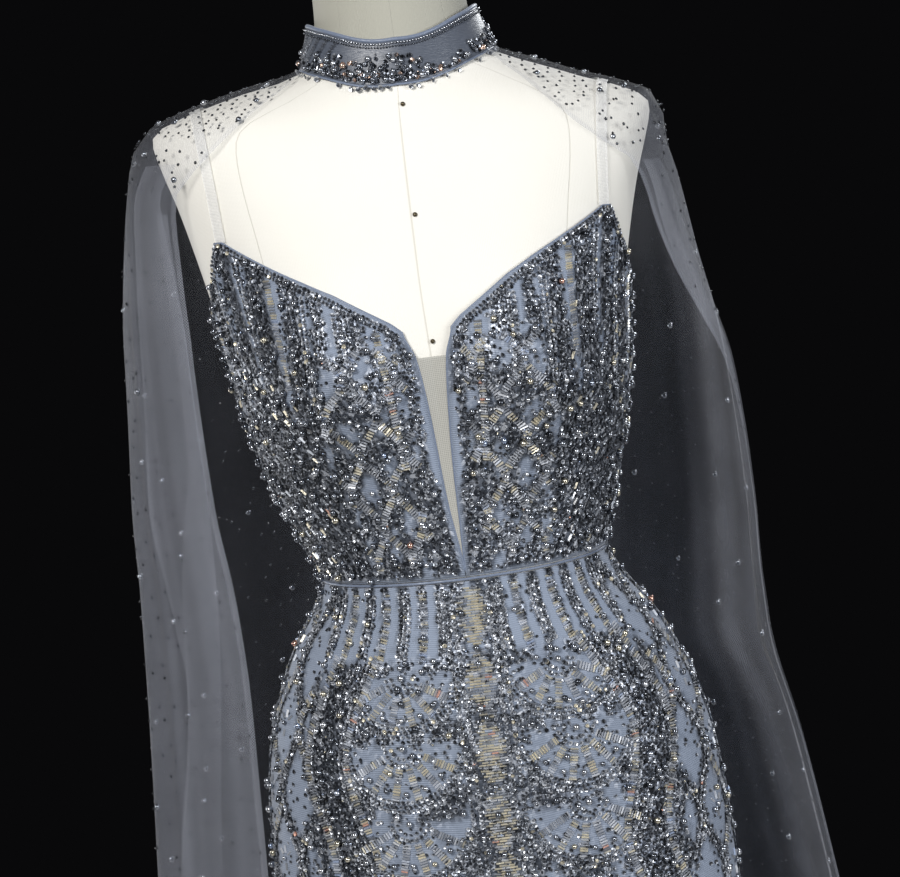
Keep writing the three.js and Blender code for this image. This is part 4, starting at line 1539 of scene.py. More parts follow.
    def fill(self) -> None:
        """Covers the gown with sequins as thickly as each place asks, with seeds between them."""
        share, up = jittered(self.pitch, HEM + 6, 268, self.chance)
        keep = self.chance.random(len(share)) < self.cover(share, up)
        share, up = share[keep], up[keep]
        garland = np.abs(np.abs(share) - self.garland_share(up)) * UNROLLED.quarter(up) < self.garland_half
        # Darker tints: in the garlands they are the beads' own colour; on the bodice's sides they are
        # painted shade.
        dark = (garland & (up < -self.feather_length)) | ((up > 0) & (np.abs(share) > 0.72))
        middle = np.where(dark, 0.38, 0.44)
        tint = np.clip(self.chance.normal(middle, 0.15), 0.0, 0.82)
        scale = np.where(self.chance.random(len(share)) < 0.5, 1.0, 0.8)
        for part, inside in (("bodice", up > 0), ("skirt", up < 0)):
            for size in (1.0, 0.8):
                here = inside & (scale == size)
                self.sew(part, Bead.SEQUIN, share[here], up[here], tint[here], scale=size)
        share, up = jittered(8.5, HEM + 6, 268, self.chance)
        keep = self.chance.random(len(share)) < 1.1 * self.cover(share, up) - 0.25
        share, up = share[keep], up[keep]
        for part, inside in (("bodice", up > 0), ("skirt", up < 0)):
            tint = self.silver(np.count_nonzero(inside))
            self.sew(part, Bead.SEED, share[inside], up[inside], tint)

    def line(self, part: str, path: Path, bead: Bead, aside: float, middle: float, **how: float) -> None:
        """Sews beads along a path and its mirror."""
        share, up = path.beside(aside)
        tint = self.silver(len(share), middle)
        self.both(part, bead, share, up, tint, spin=path.turn, **how)

    def fan(self, share: float, up: float, radius: float, thick: float) -> None:
        """Sews a fan of ladders that opens downwards from its hub, with a double edge of sequins.

        Args:
            share: Place of its hub round the gown.
            up: Height of its hub.
            radius: Its radius in millimetres.
            thick: From 0 to 1, how much of it is sewn.
        """
        quarter = float(UNROLLED.quarter(up))
        ribs = 6 if radius < 52 else 8
        angles = np.radians(np.linspace(-152, -28, ribs))
        steps = np.arange(radius * 0.36, radius * 0.86, self.rung / thick)
        angle, reach = (grid.ravel() for grid in np.meshgrid(angles, steps))
        tint = self.silver(len(angle), 0.6, 0.08, gold=0.3)
        place = share + np.cos(angle) * reach / quarter
        self.both("skirt", Bead.ROD, place, up + np.sin(angle) * reach, tint, spin=angle + math.pi / 2)
        rims = (radius, radius - 3.4, radius - 6.8, radius * 0.28, radius * 0.19)
        for edge, middle in zip(rims, (0.66, 0.5, 0.6, 0.6, 0.5)):
            count = int(2.7 * edge / 3.4)
            angle = np.radians(np.linspace(-168, -12, count))
            place = share + np.cos(angle) * edge / quarter
            tint = self.silver(count, middle)
            self.both("skirt", Bead.SEQUIN, place, up + np.sin(angle) * edge, tint, spin=angle)
        between = np.radians(np.linspace(-152, -28, 2 * ribs - 1))[1::2]
        for angle in between:
            place = np.array([share + math.cos(angle) * radius * 0.72 / quarter])
            height = np.array([up + math.sin(angle) * radius * 0.72])
            self.both("skirt", Bead.BALL, place, height, self.silver(1, 0.5), scale=0.9)
        self.both("skirt", Bead.BALL, np.array([share]), np.array([up - 1]), 0.6, scale=1.1)

    # Parts of the layout

    def skirt_feathers(self) -> None:
        """Lets feathers fall from the waist in front."""
        for number, share in enumerate(np.arange(0.128, 0.64, 0.085)):
            length = self.feather_length * (0.8 + 0.28 * abs(math.sin(share * 19)))
            up = np.arange(-7.0, -length, -1.0)
            place = np.full(len(up), share) + 0.012 * np.sin(up / 19)
            if number % 2:
                self.ladder("skirt", place, up, 0.6, 0.35)
            else:
                path = Path.through(place, up, 3.3)
                for aside, middle in ((-3.4, 0.6), (0.0, 0.66), (3.4, 0.5)):
                    self.line("skirt", path, Bead.SEQUIN, aside, middle)
            tip = np.array([length + 6])
            self.both("skirt", Bead.BALL, np.array([place[-1]]), -tip, 0.55)

    def spine(self) -> None:
        """Sews the column of pale gold down the middle of the front: lozenges of rods laid like bricks."""
        ups = np.arange(-7.0, HEM + 40, -self.rung)
        for number, up in enumerate(ups):
            if up < self.ladders_above and number % 2:
                continue
            half = 2.6 + self.column_half * abs(math.sin(math.pi * up / self.lozenge)) ** 0.8
            shift = 0.5 * self.rod[0] * (number % 2)
            reach = np.arange(-half - shift, half + 0.1, self.rod[0] * 1.03)
            reach = reach[np.abs(reach) < half]
            place = reach / UNROLLED.quarter(np.full(len(reach), up))
            tint = self.silver(len(reach), 0.6, 0.08, gold=0.55)
            self.sew("skirt", Bead.ROD, place, np.full(len(reach), up), tint)
        knots = np.arange(-self.lozenge, HEM + 60, -self.lozenge)
        self.sew("skirt", Bead.BALL, np.zeros(len(knots)), knots, self.silver(len(knots), 0.6, gold=0.3))
        for aside, middle in ((self.column_half + 4.5, 0.66), (self.column_half + 10.5, 0.6)):
            up = np.arange(-9.0, HEM + 60, -1.0)
            path = Path.through(aside / UNROLLED.quarter(up), up, 3.3)
            self.both("skirt", Bead.SEQUIN, path.share, path.up, self.silver(len(path.up), middle))

    def rows_of_fans(self) -> None:
        """Sews fans one below the other at each side of the column, which grow with the skirt."""
        middle = self.fans[0]
        for up, radius in self.fan_places():
            self.fan(middle, up, radius, 0.5 + 0.5 * float(self.thinning(np.array(middle), np.array(up))))

    def garlands(self) -> None:
        """Edges the dark garlands with ladders and sets balls along their middles."""
        up = np.arange(-self.feather_length * 0.9, HEM + 30, -1.0)
        middle = self.garland_share(up)
        for side in (1, -1):
            edge = middle + side * (self.garland_half + 3) / UNROLLED.quarter(up)
            self.ladder("skirt", edge, up, 0.6, 0.25)
            rim = Path.through(middle + side * (self.garland_half - 2) / UNROLLED.quarter(up), up, 3.4)
            self.line("skirt", rim, Bead.SEQUIN, 0.0, 0.62)
        balls = Path.through(middle, up, 17.0)
        weave = np.where(np.arange(len(balls.up)) % 2, 6.0, -6.0)
        share, height = balls.beside(weave)
        self.both("skirt", Bead.BALL, share, height, self.silver(len(share), 0.5, gold=0.05))

    def lattices(self) -> None:
        """Lays both lattices: ladders along some lines, sequins along the others, balls where they meet."""
        for number, path in enumerate(self.skirt_lattice.paths(HEM + 20, -8, 3.4)):
            if number % 2:
                self.ladder("skirt", path.share, path.up, 0.58, 0.2)
            else:
                for aside, middle in ((-1.9, 0.64), (1.9, 0.5)):
                    self.line("skirt", path, Bead.SEQUIN, aside, middle)
        for path in self.neck_lattice.paths(8, 182, 3.4):
            self.ladder("bodice", path.share, path.up, 0.6, 0.2)
        share, up = self.skirt_lattice.crossings(HEM + 20, -12)
        self.both("skirt", Bead.BALL, share, up, self.silver(len(share), 0.55))
        for angle in np.arange(0, 2 * math.pi, math.pi / 3):
            place = share + math.cos(angle) * 5.5 / UNROLLED.quarter(up)
            self.both("skirt", Bead.SEQUIN, place, up + math.sin(angle) * 5.5, self.silver(len(share), 0.6))
        share, up = self.neck_lattice.crossings(8, 182)
        self.both("bodice", Bead.BALL, share, up, self.silver(len(share), 0.55), scale=1.1)
        share = share + self.neck_lattice.width / 2
        self.both("bodice", Bead.BALL, share, up, self.silver(len(share), 0.45), scale=0.9)

    def ladder(self, part: str, share: Array, up: Array, middle: float, gold: float) -> None:
        """Sews a ladder along a line: rods side by side across it, or end to end where the work is plainer.

        Args:
            part: bodice or skirt.
            share: Shares of the way round of close points of the line.
            up: Their heights.
            middle: The usual tint.
            gold: How many are pale gold.
        """
        for step, spin, full in ((self.rung, math.pi / 2, True), (self.rod[0] * 1.1, 0.0, False)):
            path = Path.through(share, up, step)
            rich = (path.up > self.ladders_above) & (np.abs(path.share) < self.ladders_to)
            keep = rich == full
            tint = self.silver(len(path.up), middle, 0.09, gold)[keep]
            self.both(part, Bead.ROD, path.share[keep], path.up[keep], tint, spin=path.turn[keep] + spin)

    def sprigs(self) -> None:
        """Sews a small sprig in each window of the skirt's lattice."""
        share, up = self.skirt_lattice.crossings(-700, -40)
        middle = share + self.skirt_lattice.width / 2
        keep = middle < 1.95
        middle, up = middle[keep], up[keep]
        self.both("skirt", Bead.BALL, middle, up, self.silver(len(up), 0.66), scale=0.8)
        for angle in np.radians((90, 40, 140, -90)):
            place = middle + math.cos(angle) * 7 / UNROLLED.quarter(up)
            tint = self.silver(len(up), 0.55)
            self.both("skirt", Bead.ROD, place, up + math.sin(angle) * 7, tint, spin=angle)

    def bodice_feathers(self) -> None:
        """Lets feathers fall from the bodice's top edges, and slants rods down its sides."""
        for number in range(1, int(self.streaks * 1.95)):
            share = (number + 0.5) / self.streaks
            top = float(self.bodice_top(np.array(share)))
            up = np.arange(top - 9, top - 96 - 26 * math.sin(number * 2.4), -1.0)
            line = share - 0.02 * (top - up) / 90
            if number % 3 == 1:
                self.ladder("bodice", line, up, 0.6, 0.3)
            else:
                path = Path.through(line, up, 3.3)
                for aside, middle in ((-1.8, 0.66), (1.8, 0.56)):
                    self.line("bodice", path, Bead.SEQUIN, aside, middle)
        share = np.arange(0.0, 1.98, 0.0001)
        top = self.bodice_top(share)
        edge = Path.through(share[share > 0.1], top[share > 0.1] - 1.4, 3.3)
        self.line("bodice", edge, Bead.SEQUIN, 0.0, 0.5)
        self.line("bodice", edge, Bead.SEQUIN, -3.2, 0.42)
        share, up = jittered(7.2, 6, 200, self.chance)
        side = (np.abs(share) > 0.46) & (self.chance.random(len(share)) < 0.42)
        share, up = share[side], up[side]
        spin = np.sign(share) * (0.9 + 0.15 * np.sin(up / 23))
        self.sew("bodice", Bead.ROD, share, up, self.silver(len(up), 0.34, gold=0.12), spin=spin)

    def scatter(self) -> None:
        """Scatters balls over all, standing proud."""
        for part, pitch, low, high in (("bodice", 13.0, 8, 264), ("skirt", 19.0, HEM + 20, -8)):
            share, up = jittered(pitch, low, high, self.chance)
            keep = self.chance.random(len(share)) < 0.15 + 0.6 * self.cover(share, up)
            share, up = share[keep], up[keep]
            self.sew(part, Bead.BALL, share, up, self.silver(len(up), 0.46, 0.1, gold=0.08))

    def build(self) -> None:
        """Sews everything and makes the pieces."""
        self.fill()
        self.skirt_feathers()
        self.spine()
        self.rows_of_fans()
        self.garlands()
        self.lattices()
        self.sprigs()
        self.bodice_feathers()
        self.scatter()
        finishes = {
            Bead.SEQUIN: BeadFinish("sequins", 0.4, 0.75).material(),
            Bead.SEED: BeadFinish("seed_beads", 0.28).material(),
            Bead.ROD: BeadFinish("rod_beads", 0.4, 0.5).material(),
            Bead.BALL: BeadFinish("ball_beads", 0.12).material(),
        }
        self.pieces = {}
        for (part, bead), beading in self.sets.items():
            name = f"{part}_{bead.value}s"
            self.pieces[name] = beading.piece(name, finishes[bead], "gown_cloth")


# ---------- Sub-assemblies ----------


@dataclass(frozen=True)
class Cut:
    """How a piece of cloth is cut and held.

    Attributes:
        width: The flat cut's greatest width in metres. Not used.
        length: Its greatest length in metres. Not used.
        area: Its area in square metres.
        held: How it is held. Not used.
        rests_on: What it rests on or hangs from. Not used.
    """

    width: float
    length: float
    area: float
    held: str
    rests_on: tuple[str, ...]


def declare(piece: bpy.types.Object, cut: Cut) -> None:
    """Logs a piece's laid size and area beside the area of its cut."""
    total = sum(face.area for face in piece.data.polygons)
    places = np.empty(2 * len(piece.data.loops))
    piece.data.uv_layers["cloth"].data.foreach_get("uv", places)
    span = np.ptp(places.reshape(-1, 2), axis=0)
    log.info("%s: laid %.3f by %.3f m, %.4f m2 of %.4f m2 cut", piece.name, *span, total, cut.area)


def closed_shell(mesh: bpy.types.Mesh, gap: float) -> None:
    """Closes a grid that has been wrapped into a tube: merges its seam and caps its ends.

    Args:
        mesh: The grid's mesh.
        gap: The distance in metres below which points are merged.
    """
    bm = bmesh.new()
    bm.from_mesh(mesh)
    bmesh.ops.remove_doubles(bm, verts=bm.verts, dist=gap)
    bmesh.ops.holes_fill(bm, edges=bm.edges, sides=0)
    bmesh.ops.recalc_face_normals(bm, faces=bm.faces)
    bm.to_mesh(mesh)
    bm.free()


@dataclass
class Form:
    """The limbless dress form: padded torso, neck cap, pole and round base."""

    columns: int = 129
    rows: int = 110
    pin_heights: tuple[float, ...] = (357.0, 275.0, 181.0)
    pin_radius: float = 1.8
    pin_aside: float = 3.0
    pole_radius: float = 16.0
    flange: tuple[float, float] = (55.0, 12.0)
    boss: tuple[float, float, float] = (28.0, 12.0, 64.0)
    base: tuple[float, float, float, float] = (190.0, 10.0, 6.0, 24.0)
    foot: float = 20.0

    def torso(self) -> None:
        """Builds the torso in jersey."""
        turn = np.linspace(-math.pi, math.pi, self.columns)
        up = np.linspace(FORM_BOTTOM, FORM_TOP, self.rows)
        turns, ups = np.meshgrid(turn, up)
        mesh = grid_mesh(self.columns, self.rows, askew(body_surface(turns, ups)))
        paint(mesh, "share", turns / math.pi)
        paint(mesh, "up", ups)
        closed_shell(mesh, 1e-5)
        piece = finished(mesh, "form_torso_jersey", FormCloth().material())
        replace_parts(piece, "form_torso")

    def pins(self) -> None:
        """Sticks the dark pin heads down the middle of the chest."""
        bm = bmesh.new()
        for up in self.pin_heights:
            height = np.array(up)
            turn = BODY_RINGS.turn_at(height, np.array(self.pin_aside))
            at = Vector(askew(body_surface(turn, height) - (0, self.pin_radius * 0.3, 0)))
            bmesh.ops.create_uvsphere(
                bm, u_segments=16, v_segments=10, radius=self.pin_radius * MM, matrix=Matrix.Translation(at)
            )
        mesh = bpy.data.meshes.new("pins")
        bm.to_mesh(mesh)
        bm.free()
        mesh.polygons.foreach_set("use_smooth", [True] * len(mesh.polygons))
        dull = Metal("pin_heads", tone(92, 84, 66), 0.8, 0.25).material()
        finished(mesh, "form_pin_heads", dull)

    def cap(self) -> None:
        """Gives the neck cap its lacquer."""
        node = bpy.data.objects["form_neck_cap"]
        node.data.materials.clear()
        node.data.materials.append(Metal("neck_cap_lacquer", tone(206, 204, 196), 0.0, 0.45).material())

    def stand(self) -> None:
        """Spins the pole with its flange, and the base with its boss."""
        flange_radius, flange_height = self.flange
        boss_radius, boss_foot, boss_height = self.boss
        base_radius, edge, step, height = self.base
        top = WAIST + FORM_BOTTOM
        pole = (
            (0, self.foot),
            (self.pole_radius, self.foot),
            (self.pole_radius, top - flange_height),
            (flange_radius, top - flange_height),
            (flange_radius, top),
            (0, top),
        )
        steel = Metal("brushed_steel", tone(186, 188, 192), 0.95, 0.3).material()
        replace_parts(finished(spun_mesh(pole), "form_pole_turned", steel), "form_pole")
        base = (
            (0, 0),
            (base_radius - 2, 0),
            (base_radius, 2),
            (base_radius, edge),
            (base_radius - step, edge + step),
            (boss_radius + boss_foot, height),
            (boss_radius, height + boss_foot),
            (boss_radius, boss_height),
            (self.pole_radius, boss_height),
            (self.pole_radius, self.foot),
            (0, self.foot),
        )
        lacquer = Metal("base_lacquer", tone(40, 41, 44), 0.3, 0.42).material()
        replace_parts(finished(spun_mesh(base), "form_base_turned", lacquer), "form_base")

    def build(self) -> None:
        """Builds the form."""
        self.torso()
        self.pins()
        self.cap()
        self.stand()


@dataclass
class Gown:
    """The cloth of the gown: skirt, cups, backs, insert, straps, piping and zip slider."""

    fine: float = 8.5  # height of a row of the skirt
    front_columns: int = 107
    back_columns: int = 55
    bodice_grid: int = 45
    skirt_top: float = -(PIPING_WIDTH / 2 + SEAM_GAP)
    seam_turn: float = 0.0009  # turn left free at each edge of a skirt panel
    strap_rows: int = 70
    piping_radius: float = 1.1
    binding_radius: float = 0.95
    cuts: dict[str, Cut] = field(
        default_factory=lambda: {
            "skirt_front": Cut(0.89, 1.07, 0.62, "hung", ("waist_piping_cord",)),
            "skirt_back_left": Cut(0.46, 1.07, 0.32, "hung", ("waist_piping_cord",)),
            "skirt_back_right": Cut(0.46, 1.07, 0.32, "hung", ("waist_piping_cord",)),
            "bodice_cup_left": Cut(0.27, 0.29, 0.055, "stretched", ("form_torso_jersey",)),
            "bodice_cup_right": Cut(0.27, 0.29, 0.055, "stretched", ("form_torso_jersey",)),
            "bodice_back_left": Cut(0.24, 0.23, 0.045, "stretched", ("form_torso_jersey",)),
            "bodice_back_right": Cut(0.24, 0.23, 0.045, "stretched", ("form_torso_jersey",)),
            "plunge_insert": Cut(0.026, 0.16, 0.002, "stretched", ("form_torso_jersey",)),
        }
    )

    def panel(
        self, name: str, surface: Surface, keeps: tuple[str, ...], across: Array, along: Array
    ) -> None:
        """Builds one panel of beaded cloth.

        Args:
            name: The solid that it replaces.
            surface: Its surface.
            keeps: Sides of the figure that it stays on.
            across: Places of its columns.
            along: Places of its rows.
        """
        cloth = Cloth(surface, GOWN_FACE, keeps)
        mesh = laid_cloth(cloth, across, along)
        columns, rows = np.meshgrid(across, along)
        share, up = self.places(surface(columns, rows))
        paint(mesh, "fill", np.clip(BEADWORK.cover(share, up) * 1.05 - 0.08, 0, 1))
        piece = finished(mesh, name + "_cloth", self.cloth)
        thicken(piece, GOWN_WALL)
        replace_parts(piece, name)
        declare(piece, self.cuts[name])

    def places(self, point: Array) -> tuple[Array, Array]:
        """Finds the shares of the way round and the heights of points in millimetres."""
        up = point[..., 2] - WAIST
        x, y = point[..., 0], point[..., 1]
        guess = np.linspace(-2, 2, 401)
        share = np.empty(np.shape(up))
        for index in np.ndindex(share.shape[0]):
            height = up[index].mean()
            ring = gown_by_share(guess, np.full(len(guess), height))
            angle = np.unwrap(np.arctan2(ring[:, 0], -ring[:, 1]))
            angle -= 2 * math.pi * round((angle[200]) / (2 * math.pi))
            here = np.arctan2(x[index], -y[index])
            share[index] = np.interp(here, angle, guess)
        return share, up

    def skirt(self) -> None:
        """Builds the three panels of the skirt."""
        along = np.linspace(HEM, self.skirt_top, int((self.skirt_top - HEM) / self.fine))
        side = math.pi / 2
        for name, keeps, start, end, columns in (
            ("skirt_front", ("front",), -side, side, self.front_columns),
            ("skirt_back_left", ("left", "back"), side, math.pi, self.back_columns),
            ("skirt_back_right", ("right", "back"), -math.pi, -side, self.back_columns),
        ):
            across = np.linspace(start + self.seam_turn, end - self.seam_turn, columns)
            self.panel(name, gown_surface, keeps, across, along)

    def bodice(self) -> None:
        """Builds the cups and the backs."""
        across = np.linspace(0, 1, self.bodice_grid)
        along = np.linspace(0, 1, self.bodice_grid)
        self.panel("bodice_cup_left", cup_surface, ("left", "front"), across, along)
        self.panel("bodice_cup_right", mirrored(cup_surface), ("right", "front"), across, along)
        self.panel("bodice_back_left", back_surface, ("left", "back"), across, along)
        self.panel("bodice_back_right", mirrored(back_surface), ("right", "back"), across, along)

    def net(self) -> None:
        """Builds the insert of the plunge and the straps."""
        insert = Cloth(insert_surface, GOWN_CLEAR + 1)
        mesh = laid_cloth(insert, np.linspace(0, 1, 15), np.linspace(INSERT_POINT, INSERT_TOP, 60))
        net = FineNet("nude_mesh", tone(178, 177, 170), 0.84, 1.4).material()
        piece = finished(mesh, "plunge_insert_mesh", net)
        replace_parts(piece, "plunge_insert")
        declare(piece, self.cuts["plunge_insert"])
        tape = FineNet("strap_tape", tone(250, 250, 248), 0.55, 1.1, 0.35).material()
        for name, side in (("strap_left", 1), ("strap_right", -1)):
            strap = Cloth(strap_surface(side), STRAP_CLEAR + STRAP_WALL)
            along = np.linspace(0.001, 1.999, self.strap_rows)
            mesh = laid_cloth(strap, np.linspace(0.001, 0.999, 9), along)
            piece = finished(mesh, name + "_tape", tape)
            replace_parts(piece, name)

    def piping(self) -> None:
        """Runs piping round the waist and along the bodice's edges."""
        satin = PIPING_SATIN.material()
        turn = np.linspace(-math.pi + 0.003, math.pi - 0.003, 241)
        waist = Cloth(body_surface, GOWN_FACE - 0.7)
        path = waist.points(turn, np.zeros(len(turn)))
        piece = finished(tube_mesh(path, self.piping_radius, 10), "waist_piping_cord", satin)
        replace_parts(piece, "waist_piping")
        rise = np.linspace(0.02, 1, 60)
        top = np.linspace(0, 1, 90)[1:]
        for name, surface, mirror in (
            ("bodice_cup_left", cup_surface, False),
            ("bodice_cup_right", cup_surface, True),
            ("bodice_back_left", back_surface, False),
            ("bodice_back_right", back_surface, True),
        ):
            cup = surface is cup_surface
            across = np.concatenate([np.zeros(len(rise)), top]) if cup else np.concatenate([[0.0], top])
            along = np.concatenate([rise, np.ones(len(top))]) if cup else np.ones(len(top) + 1)
            edge = Cloth(surface, GOWN_FACE - 0.8)
            point, _, _, out = edge.frames(across, along)
            point = point + out * edge.face
            path = askew(point * ((-1, 1, 1) if mirror else (1, 1, 1)))
            finished(tube_mesh(path, self.binding_radius, 8), name + "_binding", satin)

    def slider(self) -> None:
        """Gives the zip's slider its metal."""
        node = bpy.data.objects["zip_slider"]
        node.data.materials.clear()
        node.data.materials.append(Metal("zip_metal", tone(170, 172, 178), 0.95, 0.28).material())

    def build(self) -> None:
        """Builds the gown's cloth."""
        self.cloth = RibbedCloth().material()
        self.piping()
        self.skirt()
        self.bodice()
        self.net()
        self.slider()


@dataclass
class Collar:
    """The standing collar of satin, bound along both edges and beaded."""

    open_behind: float = 0.0025
    columns: int = 151
    rows: int = 12
    binding_radius: float = 1.6
    cut: Cut = Cut(0.47, 0.036, 0.0158, "stretched", ("form_torso_jersey",))

    def band(self) -> None:
        """Builds the band and its bindings."""
        satin = Satin("collar_satin", tone(90, 97, 110), tone(60, 67, 80), 0.36).material()
        turn = np.linspace(-math.pi + self.open_behind, math.pi - self.open_behind, self.columns)
        mesh = laid_cloth(self.cloth, turn, np.linspace(0, 1, self.rows))
        piece = finished(mesh, "collar_band_satin", satin)
        thicken(piece, COLLAR_WALL)
        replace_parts(piece, "collar_band")
        binding = PIPING_SATIN.material()
        for name, rise, radius in (("bottom", 0.02, 0.9), ("top", 0.985, self.binding_radius)):
            path = self.cloth.points(turn, np.full(len(turn), rise), -0.5)
            finished(tube_mesh(path, radius, 10), f"collar_{name}_binding", binding)
        declare(piece, self.cut)

    def buttons(self) -> None:
        """Covers the two buttons behind in satin."""
        satin = Satin("button_satin", tone(140, 152, 172), tone(92, 104, 124), 0.34).material()
        for name in ("collar_button_lower", "collar_button_upper"):
            node = bpy.data.objects[name]
            node.data.materials.clear()
            node.data.materials.append(satin)

    def beads(self) -> None:
        """Beads the collar: rows along the top, slanting rods, and clusters of balls and sequins below."""
        chance = np.random.default_rng(77)
        sets = {bead: Beading(bead, 300 + order) for order, bead in enumerate(Bead)}
        reach = math.pi - 0.12
        row = np.arange(-reach, reach, 0.034)
        for rise, size, tint in ((0.9, 2.1, 0.62), (0.83, 1.8, 0.3)):
            sets[Bead.SEED].sew(self.cloth, row, np.full(len(row), rise), (size,) * 3, 0.9, tint)
        for slant in np.arange(-1.45, -0.75, 0.14):
            rise = np.linspace(0.3, 0.8, 9)
            turn = slant + 0.35 * (rise - 0.3)
            tint = chance.uniform(0.5, 0.66, len(rise))
            sets[Bead.ROD].sew(self.cloth, turn, rise, (3.6, 1.6, 1.6), 1.0, tint, 0.2, 0.05)
        for bead, size, count, high, middle in (
            (Bead.SEQUIN, 3.6, 1100, 0.66, 0.48),
            (Bead.SEED, 2.1, 420, 0.8, 0.5),
            (Bead.BALL, 4.8, 170, 0.72, 0.46),
        ):
            turn = chance.uniform(-reach, reach, count)
            crest = 0.34 + 0.22 * np.cos(3 * turn + 0.8) + 0.1 * np.cos(7 * turn)
            rise = 0.1 + chance.random(count) ** 1.4 * (high - 0.1)
            keep = rise < crest + 0.2 * chance.random(count)
            tint = np.clip(chance.normal(middle, 0.13, count), 0, 0.8)
            gold = chance.random(count) < 0.06
            tint = np.where(gold, 0.86, tint)[keep]
            sets[bead].sew(self.cloth, turn[keep], rise[keep], (size,) * 3, size * 0.3, tint, 0.0, 0.3)
        turn = np.arange(-reach, reach, 0.075)
        rise = np.full(len(turn), -0.02) - 0.05 * chance.random(len(turn))
        hanging = chance.random(len(turn)) < 0.6
        sets[Bead.SEQUIN].sew(self.cloth, turn[hanging], rise[hanging], (4.4,) * 3, 1.4, 0.7, 0.0, 0.5)
        for bead, beading in sets.items():
            name = f"collar_{bead.value}s"
            beading.piece(name, BeadFinish(name, 0.22).material(), "collar_satin")

    def build(self) -> None:
        """Builds the collar."""
        self.cloth = Cloth(COLLAR.surface, COLLAR_WALL)
        self.band()
        self.buttons()
        self.beads()


def run_along(line: Array) -> Array:
    """The distance in millimetres from the start of a line of points in metres to each of them."""
    return np.concatenate([[0], np.cumsum(np.linalg.norm(np.diff(line, axis=0), axis=1))]) / MM


